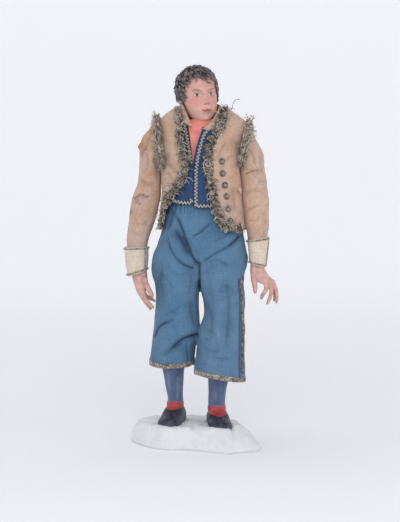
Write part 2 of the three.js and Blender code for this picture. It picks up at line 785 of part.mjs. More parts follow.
// The line of each armhole, over the shoulder from the front to the back.
const ARMHOLES = {
  right: [
    [-31, -17, 277],
    [-33.6, -18, 291],
    [-35.4, -16.6, 305],
    [-36.6, -12, 318],
    [-37.6, 1, 326],
    [-36.6, 15, 318],
    [-35.4, 19, 304],
    [-33.6, 20, 290],
    [-31, 19, 277],
  ],
  left: [
    [46, -16, 279],
    [48, -17, 292],
    [51, -16, 304],
    [54.4, -11.4, 315],
    [54, 1, 322],
    [54, 14, 315],
    [51, 18, 303],
    [48, 19, 291],
    [46, 18, 279],
  ],
};

function armholeFringe(side) {
  const line = new THREE.CatmullRomCurve3(ARMHOLES[side].map(([x, y, z]) => V(x, y, z)));
  const outwards = V(side === "right" ? -1 : 1, 0, 0);
  const rows = 11;
  return solid(
    tube(4, rows, (t, angle, share) => {
      const along = line.getTangent(t);
      const across = outwards.clone().addScaledVector(along, -outwards.dot(along)).normalize();
      const up = along.clone().cross(across);
      const reach = share * FRINGE.half * (1 + FRINGE.wave * Math.sin(t * rows * 2.4));
      const place = line.getPoint(t).addScaledVector(across, reach * Math.cos(angle));
      return place.addScaledVector(up, 1.1 * reach * Math.sin(angle));
    }),
  );
}

// Colours and finishes

const paints = {
  plaster: ["#e9e8ea", 0.95],
  paintedHead: ["#c89483", 0.5],
  paintedHand: ["#c79a85", 0.55],
  stocking: ["#4d5f83", 0.6],
  blueCloth: ["#4f7393", 0.8],
  coralSilk: ["#ee8a80", 0.7],
  navySilk: ["#27496f", 0.6],
  tanSilk: ["#c6a892", 0.6],
  creamSilk: ["#dccab5", 0.7],
  giltThread: ["#8c7e6a", 0.5],
};
const materials = Object.fromEntries(
  Object.entries(paints).map(([name, [color, roughness]]) => [
    name,
    new THREE.MeshStandardMaterial({ name, color, roughness, metalness: name === "giltThread" ? 0.4 : 0 }),
  ]),
);

const figure = new THREE.Group();
function add(name, made, material) {
  const mesh = new THREE.Mesh(surface(made), materials[material]);
  mesh.name = name;
  figure.add(mesh);
}

// Assembly, from the floor up

const legs = Object.values(LEGS);
add("plaster_base", cut(moundSolid(), ...legs.map((leg) => legSolid(leg, GAP))), "plaster");
for (const [side, leg] of Object.entries(LEGS)) add(`leg_${side}`, legSolid(leg), "stocking");

const breechesRoom = breechesSolid(GAP);
const hollows = Object.keys(trouserLegs).map(legHollow);
add("breeches", cut(breechesSolid(), ...hollows), "blueCloth");
for (const [side, form] of Object.entries(legForms)) {
  const hem = ring(form, 0.975, { lift: 2 * GAP, halfHigh: 2, thick: 1.8, around: LEG_FACES.sides });
  add(`hem_braid_${side}`, cut(hem, breechesRoom), "giltThread");
}
const downSeam = (t) => [lerp(0.34, 0.93, t), rad(-22.5)];
const seam = strip(legForms.left, downSeam, { lift: 2 * GAP, half: 2.2, rows: 9 });
add("side_braid_left", seam, "giltThread");

const headRoom = headSolid(GAP);
add("head", headSolid(), "paintedHead");

const collarRoom = plainLoft(extended(collarSections, 8, GAP), COLLAR.faces, GAP, COLLAR.power);
const ends = [below(SHIRT.foot), above(SHIRT.top)];
const shirt = cut(loft(bodyForm, TRUNK_FACES), ...ends, collarShell(GAP), headRoom);
add("shirt", shirt, "coralSilk");

const { footRight, footLeft, meet } = WAISTCOAT;
const waistcoatFoot = slab(
  [[-60, 200], [70, 200], [70, footLeft], [meet, footLeft], [meet, footRight], [-60, footRight]],
  -60,
  60,
);
const waistcoat = cut(
  loft(bodyForm, { ...TRUNK_FACES, grow: WAISTCOAT.outside }),
  loft(bodyForm, { ...TRUNK_FACES, grow: WAISTCOAT.inside }),
  waistcoatFoot,
  slab(waistcoatOpening, -60, 0),
  collarRoom,
  headRoom,
);
add("waistcoat", waistcoat, "navySilk");
const onWaistcoat = WAISTCOAT.outside + GAP;
const trims = {
  waistcoat_braid_right: band(BRAID_RIGHT, onWaistcoat, { rows: 6 }),
  waistcoat_hem_braid_right: band(BRAID_HEM_RIGHT, onWaistcoat, { rows: 3 }),
  waistcoat_braid_left: band(BRAID_LEFT, onWaistcoat, { rows: 16 }),
};

const collar = cut(collarShell(), slab(throat, -50, 0), headRoom);
add("jacket_collar", collar, "tanSilk");

const jacketRoom = loft(jacketForm, { ...TRUNK_FACES, grow: JACKET.outside + GAP });
const jacket = cut(
  loft(jacketForm, { ...TRUNK_FACES, grow: JACKET.outside }),
  loft(bodyForm, { ...TRUNK_FACES, grow: JACKET.inside }),
  below(JACKET.foot),
  slab(jacketOpening, -60, 0),
  collarRoom,
);
add("jacket", jacket, "tanSilk");

const fringes = {
  jacket_fringe_right: band(FRINGE_RIGHT, JACKET.outside + GAP, { ...FRINGE, rows: 13 }),
  jacket_fringe_left: band(FRINGE_LEFT, JACKET.outside + GAP, { ...FRINGE, rows: 13 }),
};
for (const [name, made] of Object.entries(trims)) {
  const hidden = jacketRoom.subtract(slab(jacketOpening, -60, 0));
  add(name, cut(made, ...Object.values(fringes), hidden, collarRoom), "giltThread");
}
for (const [name, made] of Object.entries(fringes)) {
  add(name, cut(made, jacketRoom, collarRoom), "giltThread");
}
BUTTONS.forEach((place, i) => add(`jacket_button_${i + 1}`, buttonSolid(place), "giltThread"));

for (const [side, arm] of Object.entries(ARMS)) {
  const sleeve = skin(arm.sleeve);
  const sleeveRoom = loft(sleeve, { sides: 12, rows: 10, grow: GAP });
  add(`sleeve_${side}`, cut(loft(sleeve, { sides: 12, rows: 10 }), jacketRoom), "tanSilk");
  add(`cuff_${side}`, cuffSolid(arm), "creamSilk");
  add(`cuff_braid_${side}`, cuffBraid(arm), "giltThread");
  add(`hand_${side}`, cut(handSolid(arm), sleeveRoom), "paintedHand");
  add(`armhole_fringe_${side}`, cut(armholeFringe(side), jacketRoom, sleeveRoom), "giltThread");
}

export default figure;
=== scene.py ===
# A commoner figure for a nativity scene: painted head, hands and legs, dressed in worn silk and cotton, on a
# plaster mound. It imports the model and hides each of its nodes that a piece made here stands for.
import math
import bpy
import bmesh
import numpy as np
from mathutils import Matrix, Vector
from mathutils.bvhtree import BVHTree


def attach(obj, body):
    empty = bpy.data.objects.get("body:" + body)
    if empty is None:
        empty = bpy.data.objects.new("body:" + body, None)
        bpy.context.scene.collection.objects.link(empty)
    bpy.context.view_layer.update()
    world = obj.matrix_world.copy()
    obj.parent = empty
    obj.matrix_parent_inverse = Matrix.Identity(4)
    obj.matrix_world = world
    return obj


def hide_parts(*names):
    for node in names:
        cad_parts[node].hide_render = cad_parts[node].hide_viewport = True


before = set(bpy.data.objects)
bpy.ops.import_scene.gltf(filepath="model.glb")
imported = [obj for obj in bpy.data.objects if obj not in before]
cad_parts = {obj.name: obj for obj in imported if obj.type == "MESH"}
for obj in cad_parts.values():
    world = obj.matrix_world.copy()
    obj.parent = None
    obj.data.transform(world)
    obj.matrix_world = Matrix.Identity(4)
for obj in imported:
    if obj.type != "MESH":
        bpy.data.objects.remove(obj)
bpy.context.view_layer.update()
mm = 0.001  # lengths below are in millimetres
print("frame loaded:", len(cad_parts), "nodes")


# Camera, light and floor

stage = {
    "cameraAt": (5.5, -1800, 315),
    "lookAt": (5.5, 0, 185),
    "lens": 124.5,
    "floorRadius": 1500,
    "coveRadius": 1000,
    "wallHeight": 2700,
}


def makeCamera():
    camera = bpy.data.objects.new("camera", bpy.data.cameras.new("camera"))
    camera.data.lens = stage["lens"]
    camera.data.sensor_width = 36
    camera.data.clip_end = 20
    at = Vector(stage["cameraAt"]) * mm
    camera.location = at
    camera.rotation_euler = (Vector(stage["lookAt"]) * mm - at).to_track_quat("-Z", "Y").to_euler()
    bpy.context.scene.collection.objects.link(camera)
    bpy.context.scene.camera = camera


def makeLight(name, at, target, size, power):
    light = bpy.data.objects.new(name, bpy.data.lights.new(name, "AREA"))
    light.data.size = size * mm
    light.data.energy = power
    light.location = Vector(at) * mm
    light.rotation_euler = ((Vector(target) - Vector(at)) * mm).to_track_quat("-Z", "Y").to_euler()
    bpy.context.scene.collection.objects.link(light)


bpy.context.scene.view_settings.view_transform = "Standard"  # keeps the paint's own colours
makeCamera()
makeLight("keyLight", (60, -1500, 1050), (0, 0, 190), 800, 6.7)
makeLight("fillLight", (1300, -900, 700), (0, 0, 190), 900, 1.5)
makeLight("topLight", (-300, 100, 1500), (0, 0, 100), 1000, 3.9)


# Numbers: smooth lines, steady random waves and soft steps

def soft(value, low, high):
    t = np.clip((value - low) / (high - low), 0, 1)
    return t * t * (3 - 2 * t)


def bump(distance, half, power=2.0):
    return np.exp(-np.abs(distance / half) ** power)


# A centripetal Catmull-Rom line through rows of numbers, at shares t of its length
def splineAt(rows, t):
    rows = np.asarray(rows, float)
    rows = np.vstack([2 * rows[0] - rows[1], rows, 2 * rows[-1] - rows[-2]])
    t = np.clip(np.atleast_1d(np.asarray(t, float)), 0, 1) * (len(rows) - 3)
    i = np.minimum(t.astype(int), len(rows) - 4)
    w = (t - i)[:, None]
    a, b, c, d = (rows[i + k] for k in range(4))
    near, here, far = (
        np.maximum(((q - p) ** 2).sum(1, keepdims=True), 1e-8) ** 0.25 for p, q in ((a, b), (b, c), (c, d))
    )
    leave = ((b - a) / near - (c - a) / (near + here) + (c - b) / here) * here
    arrive = ((c - b) / here - (d - b) / (here + far) + (d - c) / far) * here
    bend = 3 * (c - b) - 2 * leave - arrive
    return b + w * (leave + w * (bend + w * (leave + arrive - 2 * (c - b))))


# The same line closed into a ring
def ringAt(rows, t):
    count = len(rows)
    return splineAt(list(rows) * 3, (count + count * np.asarray(t)) / (3 * count - 1))


# Points spaced evenly along a line of a few points
def evenLine(rows, count):
    fine = splineAt(rows, np.linspace(0, 1, 40 * len(rows)))
    run = np.concatenate([[0], np.cumsum(np.linalg.norm(np.diff(fine, axis=0), axis=1))])
    at = np.linspace(0, run[-1], count)
    return np.stack([np.interp(at, run, fine[:, k]) for k in range(fine.shape[1])], axis=1)


# A smooth random field over points, about -1 to 1, with waves about as long as size
def waves(p, size, seed, stretch=(1, 1, 1), count=12):
    rng = np.random.default_rng(seed)
    total = np.zeros(len(p))
    for _ in range(count):
        way = rng.normal(size=3)
        way = way / np.linalg.norm(way) / np.asarray(stretch)
        total += np.sin(p @ way * (2 * math.pi / size) * rng.uniform(0.6, 1.5) + rng.uniform(0, 6.28))
    return total / math.sqrt(count)


def unit(v):
    return v / np.maximum(np.linalg.norm(v, axis=-1, keepdims=True), 1e-9)


# The distance of points [x, z] from a line of points, the side they are on, and the share along it
def fromLine(points, line):
    line = np.asarray(line, float)
    lengths = np.linalg.norm(np.diff(line, axis=0), axis=1)
    starts = np.concatenate([[0], np.cumsum(lengths)])
    near = np.full(len(points), np.inf)
    side = np.zeros(len(points))
    share = np.zeros(len(points))
    for k in range(len(line) - 1):
        step = line[k + 1] - line[k]
        off = points - line[k]
        along = np.clip(off @ step / (step @ step), 0, 1)
        rest = off - along[:, None] * step
        far = np.linalg.norm(rest, axis=1)
        closer = far < near
        near = np.where(closer, far, near)
        if points.shape[1] == 2:
            side = np.where(closer, np.sign(step[0] * off[:, 1] - step[1] * off[:, 0]), side)
        share = np.where(closer, (starts[k] + along * lengths[k]) / starts[-1], share)
    return near, side, share


# Meshes

def linked(name, mesh):
    piece = bpy.data.objects.new(name, mesh)
    bpy.context.scene.collection.objects.link(piece)
    return piece


def getPoints(piece):
    flat = np.empty(len(piece.data.vertices) * 3, np.float32)
    piece.data.vertices.foreach_get("co", flat)
    return flat.reshape(-1, 3).astype(float) / mm


def setPoints(piece, points):
    piece.data.vertices.foreach_set("co", (points * mm).astype(np.float32).ravel())
    piece.data.update()


def getNormals(piece):
    flat = np.empty(len(piece.data.vertices) * 3, np.float32)
    piece.data.vertices.foreach_get("normal", flat)
    return flat.reshape(-1, 3).astype(float)


def smoothShaded(piece):
    piece.data.polygons.foreach_set("use_smooth", np.ones(len(piece.data.polygons), bool))


# Applies a bmesh step to a piece's mesh
def edited(piece, step):
    bm = bmesh.new()
    bm.from_mesh(piece.data)
    step(bm)
    bm.to_mesh(piece.data)
    bm.free()
    piece.data.update()
    return piece


# Turns a piece's modifiers into its mesh
def settled(piece):
    graph = bpy.context.evaluated_depsgraph_get()
    graph.update()
    made = bpy.data.meshes.new_from_object(piece.evaluated_get(graph))
    piece.modifiers.clear()
    old = piece.data
    piece.data = made
    bpy.data.meshes.remove(old)
    return piece


# A grid whose points place(u, v) puts in space: u runs round or across, v runs down. It closes round u where
# ring is set, and round v too where loop is set.
def gridPiece(name, columns, rows, place, ring=False, loop=False, uvSize=(100, 100)):
    bm = bmesh.new()
    bm.loops.layers.uv.new("cloth")
    bmesh.ops.create_grid(bm, x_segments=columns, y_segments=rows, size=1, calc_uvs=True)
    mesh = bpy.data.meshes.new(name)
    bm.to_mesh(mesh)
    bm.free()
    piece = linked(name, mesh)
    flat = getPoints(piece) * mm
    setPoints(piece, place((flat[:, 0] + 1) / 2, (1 - flat[:, 1]) / 2))
    uv = np.empty(len(mesh.loops) * 2, np.float32)
    mesh.uv_layers[0].data.foreach_get("uv", uv)
    mesh.uv_layers[0].data.foreach_set("uv", (uv.reshape(-1, 2) * np.asarray(uvSize)).astype(np.float32).ravel())
    if ring or loop:
        edited(piece, lambda bm: bmesh.ops.remove_doubles(bm, verts=bm.verts, dist=0.002 * mm))
    smoothShaded(piece)
    return piece


def capped(piece):
    def step(bm):
        bmesh.ops.holes_fill(bm, edges=[e for e in bm.edges if e.is_boundary])
        bmesh.ops.recalc_face_normals(bm, faces=bm.faces)
    return edited(piece, step)


# One piece out of several
def merged(name, pieces):
    bm = bmesh.new()
    for piece in pieces:
        bm.from_mesh(piece.data)
        dropped(piece)
    mesh = bpy.data.meshes.new(name)
    bm.to_mesh(mesh)
    bm.free()
    return linked(name, mesh)


def dropped(piece):
    mesh = piece.data
    bpy.data.objects.remove(piece)
    bpy.data.meshes.remove(mesh)


# One even skin round a piece's closed bodies
def remeshed(piece, voxel, rounds=3):
    modifier = piece.modifiers.new("voxels", "REMESH")
    modifier.mode = "VOXEL"
    modifier.voxel_size = voxel * mm
    settled(piece)
    edited(piece, lambda bm: [
        bmesh.ops.smooth_vert(bm, verts=bm.verts, factor=0.5, use_axis_x=True, use_axis_y=True, use_axis_z=True)
        for _ in range(rounds)
    ])
    smoothShaded(piece)
    return piece


# A number or colour for each point of a piece, which its material reads
def painted(piece, name, values):
    values = np.asarray(values, np.float32)
    if values.ndim == 1:
        layer = piece.data.attributes.new(name, "FLOAT", "POINT")
        layer.data.foreach_set("value", values)
    else:
        layer = piece.data.attributes.new(name, "FLOAT_COLOR", "POINT")
        full = np.ones((len(values), 4), np.float32)
        full[:, :3] = values
        layer.data.foreach_set("color", full.ravel())


def thickened(piece, thickness, offset=-1.0):
    modifier = piece.modifiers.new("cloth", "SOLIDIFY")
    modifier.thickness = thickness * mm
    modifier.offset = offset
    modifier.use_even_offset = False
    return piece


# Thin creases that come and go over a cloth, from 0 to 1
def creased(p, size, seed, stretch=(1, 1, 1)):
    lines = bump(waves(p, size, seed, stretch), 0.16, 1.5)
    return lines * soft(waves(p, size * 1.6, seed + 500), -0.2, 1.0)


# Folds pressed into points with their normals. Each is a line of [x, z] points seen from the front or the back,
# or of [x, y, z] points, with its half width and its depth, and a rounder ridge beside it. Returns how far each
# point moves, and how much painted shade lies along the folds' bottoms.
def folded(p, n, folds):
    moved, dark = np.zeros(len(p)), np.zeros(len(p))
    for fold in folds:
        line = np.asarray(fold["line"], float)
        half, depth = fold["half"], fold["depth"]
        if line.shape[1] == 2:
            facing = soft(n[:, 1] if fold.get("back") else -n[:, 1], -0.05, 0.4)
            near, side, share = fromLine(p[:, [0, 2]], evenLine(line, 24))
        else:
            facing = 1
            near, side, share = fromLine(p, evenLine(line, 24))
        start, end = fold.get("fade", (0.25, 0.25))
        ends = soft(share, -0.001, start) * soft(1 - share, -0.001, end)
        ridge = fold.get("ridge", 0.35) * bump(side * near - 2.1 * half * fold.get("side", 1), 1.5 * half)
        moved -= facing * ends * depth * (bump(near, half, 1.5) - ridge)
        line = facing * ends * fold.get("dark", 0.3) * bump(near, max(0.33 * half, 0.75), 1.5)
        dark = np.maximum(dark, line if depth > 0 else 0)
    return moved, dark


# The skin through sections [x, y, z, half width, half depth, tilt, pitch], top to bottom
def skinAt(sections, t, angle, grow=0.0, power=2.2):
    full = np.array([list(s) + [0] * (7 - len(s)) for s in sections], float)
    middle = splineAt(full[:, :3], t)
    wide, deep = splineAt(full[:, 3:5], t).T + grow
    tilt, pitch = np.radians(splineAt(full[:, 5:7], t)).T
    across = wide * np.sign(np.cos(angle)) * np.abs(np.cos(angle)) ** (2 / power)
    back = deep * np.sign(np.sin(angle)) * np.abs(np.sin(angle)) ** (2 / power)
    return middle + np.stack(
        [across * np.cos(tilt), back * np.cos(pitch), across * np.sin(tilt) + back * np.sin(pitch)], axis=1
    )


# A closed form through sections
def loftPiece(name, sections, columns, rows, power=2.2, grow=0.0):
    piece = gridPiece(name, columns, rows, lambda u, v: skinAt(sections, v, u * 2 * math.pi, grow, power), ring=True)
    return capped(piece)


# A round thread or limb along a line of points, as thick as radius says, its end rounded where tip is over 0
def threadPiece(name, line, radius, sides=6, closed=False, tip=0.0):
    line = np.asarray(line, float)
    count = len(line)
    ahead = np.roll(line, -1, axis=0) - np.roll(line, 1, axis=0)
    if not closed:
        ahead[0], ahead[-1] = line[1] - line[0], line[-1] - line[-2]
    ahead = unit(ahead)
    lean = np.array([0.13, 0.94, 0.31])
    side = unit(np.cross(lean, ahead))
    other = np.cross(ahead, side)
    radius = np.broadcast_to(np.asarray(radius, float), (count,)).copy()
    if tip:
        share = np.linspace(0, 1, count)
        radius *= np.sqrt(np.clip(1 - (np.clip((share - 1 + tip) / tip, 0, 1)) ** 2, 0.02, 1))

    def place(u, v):
        k = np.rint(v * (count - (0 if closed else 1))).astype(int) % count
        turn = u[:, None] * 2 * math.pi
        return line[k] + radius[k][:, None] * (np.cos(turn) * side[k] + np.sin(turn) * other[k])

    piece = gridPiece(name, sides, count if closed else count - 1, place, ring=True, loop=closed)
    return piece if closed else capped(piece)


# A small mesh repeated, as one piece whose points come in blocks, one block for each copy
def copies(name, template, count):
    modifier = template.modifiers.new("copies", "ARRAY")
    modifier.count = count
    modifier.use_relative_offset = False
    modifier.use_constant_offset = True
    modifier.constant_offset_displace = (0.05, 0, 0)
    template.name = name
    return settled(template)


# Finishes a piece: gives it its material, hangs it on the root, and hides the imported nodes it stands for
def handed(piece, material, slot, *nodes):
    piece.data.materials.clear()
    piece.data.materials.append(material)
    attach(piece, "root")
    if nodes:
        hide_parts(*nodes)
    return piece


# Materials. Colours are sRGB hex values.

def linear(hexText):
    values = [int(hexText[i:i + 2], 16) / 255 for i in (1, 3, 5)]
    return (*(v / 12.92 if v <= 0.04045 else ((v + 0.055) / 1.055) ** 2.4 for v in values), 1.0)


def rgb(hexText):
    return np.array(linear(hexText)[:3])


def addNode(tree, kind, inputs=None, **settings):
    node = tree.nodes.new("ShaderNode" + kind)
    for name, value in settings.items():
        setattr(node, name, value)
    for name, value in (inputs or {}).items():
        if isinstance(value, bpy.types.NodeSocket):
            tree.links.new(value, node.inputs[name])
        else:
            node.inputs[name].default_value = value
    return node


def newMaterial(name, roughness, **constants):
    material = bpy.data.materials.new(name)
    material.use_nodes = True
    tree = material.node_tree
    shader = tree.nodes["Principled BSDF"]
    shader.inputs["Roughness"].default_value = roughness
    for socket, value in constants.items():
        shader.inputs[socket.replace("_", " ")].default_value = value
    return material, tree, shader


def mixColour(tree, share, low, high):
    return addNode(tree, "Mix", {0: share, 6: low, 7: high}, data_type="RGBA").outputs[2]


# Woven cloth: over-and-under threads, slubs along both ways, faded patches, stains, dirt marks, and painted shade with
# some dirt in the folds.
# Real threads lie about 0.3 mm apart; they are drawn coarser, so that the weave shows.
def wovenCloth(name, look):
    material, tree, shader = newMaterial(name, look["roughness"], Sheen_Weight=look["sheen"], Sheen_Roughness=0.4)
    at = addNode(tree, "TexCoord")
    spacing = look["thread"]
    split = addNode(tree, "SeparateXYZ", {0: at.outputs["UV"]})
    threads = []
    for axis in ("X", "Y"):
        turn = addNode(tree, "Math", {0: split.outputs[axis], 1: 2 * math.pi / spacing}, operation="MULTIPLY")
        threads.append(addNode(tree, "Math", {0: turn.outputs[0]}, operation="SINE").outputs[0])
    weave = addNode(tree, "Math", {0: threads[0], 1: threads[1]}, operation="MULTIPLY")
    slubs = []
    for stretch in ((1 / 0.9, 1 / 14, 1), (1 / 14, 1 / 0.9, 1)):
        along = addNode(tree, "Mapping", {"Vector": at.outputs["UV"], "Scale": stretch})
        slubs.append(addNode(tree, "TexNoise", {"Vector": along.outputs[0], "Scale": 1.0, "Detail": 2.0}).outputs[0])
    slub = addNode(tree, "Math", {0: slubs[0], 1: slubs[1]}, operation="ADD")
    patches = addNode(tree, "TexNoise", {"Vector": at.outputs["Object"], "Scale": 1000 / look["patch"], "Detail": 4.0})
    faded = addNode(tree, "MapRange", {"Value": patches.outputs[0], "From Min": 0.4, "From Max": 0.65})
    colour = mixColour(tree, faded.outputs[0], linear(look["colour"]), linear(look["faded"]))
    stains = addNode(tree, "TexNoise", {
        "Vector": at.outputs["Object"], "Scale": 1000 / look["stainSize"], "Detail": 6.0, "Roughness": 0.65,
        "Distortion": 0.6,
    })
    stained = addNode(tree, "MapRange", {
        "Value": stains.outputs[0], "From Min": 0.56, "From Max": 0.74, "To Max": look["stained"],
    })
    colour = mixColour(tree, stained.outputs[0], colour, linear(look["stain_and_painted_light"]))
    # Marks from attributes: rust and stains, and painted light on the breeches' left leg; dirt, and painted shade in
    # the breeches' deepest creases
    for mark, tone in (("rust_and_painted_light", look["stain_and_painted_light"]), ("dirt_and_shade", look["dirt_and_shade"])):
        amount = addNode(tree, "Attribute", attribute_name=mark)
        broken = addNode(tree, "MapRange", {"Value": stains.outputs[0], "From Min": 0.2, "From Max": 0.55,
                                            "To Min": 0.5})
        here = addNode(tree, "Math", {0: amount.outputs["Fac"], 1: broken.outputs[0]}, operation="MULTIPLY")
        colour = mixColour(tree, here.outputs[0], colour, linear(tone))
    # Painted shade, with some dirt, in the folds: the look's dark colour, as strong as depth says
    fold_shade_and_dirt = addNode(tree, "Attribute", attribute_name="fold_shade_and_dirt")
    depth = addNode(tree, "Math", {0: fold_shade_and_dirt.outputs["Fac"], 1: look["depth"]}, operation="MULTIPLY")
    colour = mixColour(tree, depth.outputs[0], colour, linear(look["dark"]))
    value = addNode(tree, "MapRange", {"Value": slub.outputs[0], "From Min": 0.7, "From Max": 1.3,
                                       "To Min": 1 - look["slub"], "To Max": 1 + look["slub"]})
    fleck = addNode(tree, "TexNoise", {"Vector": at.outputs["Object"], "Scale": 1000 / 1.5, "Detail": 2.0})
    flecked = addNode(tree, "MapRange", {"Value": fleck.outputs[0], "From Min": 0.32, "From Max": 0.68,
                                         "To Min": 1 - look["fleck"], "To Max": 1 + look["fleck"]})
    tone = addNode(tree, "Math", {0: value.outputs[0], 1: flecked.outputs[0]}, operation="MULTIPLY")
    tinted = addNode(tree, "HueSaturation", {"Color": colour, "Value": tone.outputs[0]})
    tree.links.new(tinted.outputs[0], shader.inputs["Base Color"])
    height = addNode(tree, "Math", {0: slub.outputs[0], 1: weave.outputs[0]}, operation="ADD")
    threadRelief = addNode(tree, "Bump", {"Height": height.outputs[0], "Strength": 0.6, "Distance": 0.06 * mm})
    rumple = addNode(tree, "TexNoise", {"Vector": at.outputs["Object"], "Scale": 1000 / look["rumple"], "Detail": 5.0,
                                        "Roughness": 0.6, "Distortion": 1.2})
    relief = addNode(tree, "Bump", {"Height": rumple.outputs[0], "Normal": threadRelief.outputs[0], "Strength": 0.7,
                                    "Distance": look["rumpleDepth"] * mm})
    tree.links.new(relief.outputs[0], shader.inputs["Normal"])
    return material


# Gilt metal thread gone dull: its colour runs from dark brown to pale with the shade number, which holds the thread's
# own tone and, on the fringes and buttons, painted shade and painted light
def dullGilt(name, dark, middle, bright, metallic):
    material, tree, shader = newMaterial(name, 0.48, Metallic=metallic)
    at = addNode(tree, "TexCoord")
    shade = addNode(tree, "Attribute", attribute_name="shade")
    noise = addNode(tree, "TexNoise", {"Vector": at.outputs["Object"], "Scale": 1000 / 1.6, "Detail": 2.0})
    spread = addNode(tree, "MapRange", {"Value": noise.outputs[0], "From Min": 0.3, "From Max": 0.7,
                                        "To Min": -0.22, "To Max": 0.22})
    tone = addNode(tree, "Math", {0: shade.outputs["Fac"], 1: spread.outputs[0]}, operation="ADD", use_clamp=True)
    low = addNode(tree, "MapRange", {"Value": tone.outputs[0], "From Min": 0.0, "From Max": 0.5})
    high = addNode(tree, "MapRange", {"Value": tone.outputs[0], "From Min": 0.5, "From Max": 1.0})
    colour = mixColour(tree, low.outputs[0], linear(dark), linear(middle))
    colour = mixColour(tree, high.outputs[0], colour, linear(bright))
    tree.links.new(colour, shader.inputs["Base Color"])
    twist = addNode(tree, "TexNoise", {"Vector": at.outputs["Object"], "Scale": 1000 / 0.35, "Detail": 1.0})
    relief = addNode(tree, "Bump", {"Height": twist.outputs[0], "Strength": 0.5, "Distance": 0.1 * mm})
    tree.links.new(relief.outputs[0], shader.inputs["Normal"])
    return material


# Oil paint on fired clay or wood: the colours are painted point by point, with mottling and fine wear over them
def oilPaint(name, roughness, grain, wear):
    material, tree, shader = newMaterial(name, roughness, Coat_Weight=0.06, Coat_Roughness=0.35)
    at = addNode(tree, "TexCoord")
    paint = addNode(tree, "Attribute", attribute_name="paint")
    mottle = addNode(tree, "TexNoise", {"Vector": at.outputs["Object"], "Scale": 1000 / 3.5, "Detail": 5.0,
                                        "Roughness": 0.6})
    value = addNode(tree, "MapRange", {"Value": mottle.outputs[0], "From Min": 0.3, "From Max": 0.7,
                                       "To Min": 1 - wear, "To Max": 1 + wear})
    tinted = addNode(tree, "HueSaturation", {"Color": paint.outputs["Color"], "Value": value.outputs[0]})
    tree.links.new(tinted.outputs[0], shader.inputs["Base Color"])
    strokes = addNode(tree, "TexNoise", {"Vector": at.outputs["Object"], "Scale": 1000 / grain, "Detail": 3.0})
    relief = addNode(tree, "Bump", {"Height": strokes.outputs[0], "Strength": 0.35, "Distance": 0.12 * mm})
    tree.links.new(relief.outputs[0], shader.inputs["Normal"])
    return material


# Cast plaster: chalky, dead matt, with grey smears and a fine grain
def castPlaster(name):
    material, tree, shader = newMaterial(name, 0.92)
    at = addNode(tree, "TexCoord")
    smears = addNode(tree, "TexNoise", {"Vector": at.outputs["Object"], "Scale": 1000 / 22, "Detail": 6.0,
                                        "Roughness": 0.65, "Distortion": 0.8})
    grey = addNode(tree, "MapRange", {"Value": smears.outputs[0], "From Min": 0.5, "From Max": 0.85})
    colour = mixColour(tree, grey.outputs[0], linear("#ebeaed"), linear("#d9d7dc"))
    # Marks on the plaster, and the painted shade round the shoes, come from this attribute
    dirt_and_shade = addNode(tree, "Attribute", attribute_name="dirt_and_shade")
    colour = mixColour(tree, dirt_and_shade.outputs["Fac"], colour, linear("#7f7a80"))
    tree.links.new(colour, shader.inputs["Base Color"])
    grain = addNode(tree, "TexNoise", {"Vector": at.outputs["Object"], "Scale": 1000 / 1.8, "Detail": 4.0})
    relief = addNode(tree, "Bump", {"Height": grain.outputs[0], "Strength": 0.5, "Distance": 0.3 * mm})
    tree.links.new(relief.outputs[0], shader.inputs["Normal"])
    return material


def paleFloor():
    material, tree, shader = newMaterial("paleFloor", 0.9)
    at = addNode(tree, "TexCoord")
    cloud = addNode(tree, "TexNoise", {"Vector": at.outputs["Object"], "Scale": 2.0})
    colour = mixColour(tree, cloud.outputs[0], linear("#f4f6fa"), linear("#f1f3f8"))
    tree.links.new(colour, shader.inputs["Base Color"])
    # The floor glows with painted light, weakly near the middle and more towards the far wall
    far = addNode(tree, "VectorMath", {0: at.outputs["Object"]}, operation="LENGTH")
    painted_glow = addNode(tree, "MapRange", {"Value": far.outputs["Value"], "From Min": 0.1, "From Max": 1.8, "To Min": 0.1,
                                     "To Max": 0.285})
    shader.inputs["Emission Color"].default_value = linear("#fbfaf9")
    tree.links.new(painted_glow.outputs[0], shader.inputs["Emission Strength"])
    return material


# In each look, dark is the colour of the painted shade in the folds, and depth how strongly it is laid on
tanLook = {
    "colour": "#cdab94", "faded": "#c1a89c", "stain_and_painted_light": "#b47a45", "dirt_and_shade": "#42302a", "dark": "#5f4334",
    "patch": 30, "stainSize": 15, "stained": 0.6, "thread": 0.55, "slub": 0.08, "fleck": 0.1,
    "rumple": 7, "rumpleDepth": 0.55, "depth": 0.75, "roughness": 0.62, "sheen": 0.25,
}
# Its stain colour, a lighter blue, also paints the light on the breeches' left leg
blueLook = {
    "colour": "#4a7091", "faded": "#5a7f9d", "stain_and_painted_light": "#6b8aa4", "dirt_and_shade": "#1b2740", "dark": "#152b48",
    "patch": 34, "stainSize": 22, "stained": 0.35, "thread": 0.6, "slub": 0.1, "fleck": 0.08,
    "rumple": 9, "rumpleDepth": 0.55, "depth": 0.85, "roughness": 0.8, "sheen": 0.15,
}
navyLook = {
    "colour": "#1a416f", "faded": "#193a5a", "stain_and_painted_light": "#2c3a78", "dirt_and_shade": "#141c2c", "dark": "#0d2140",
    "patch": 16, "stainSize": 9, "stained": 0.45, "thread": 0.6, "slub": 0.08, "fleck": 0.1,
    "rumple": 5, "rumpleDepth": 0.3, "depth": 0.6, "roughness": 0.6, "sheen": 0.1,
}
coralLook = {
    "colour": "#ee8577", "faded": "#ec9587", "stain_and_painted_light": "#dd7268", "dirt_and_shade": "#a04a45", "dark": "#b6504a",
    "patch": 14, "stainSize": 12, "stained": 0.4, "thread": 0.6, "slub": 0.05, "fleck": 0.05,
    "rumple": 6, "rumpleDepth": 0.5, "depth": 0.5, "roughness": 0.6, "sheen": 0.25,
}
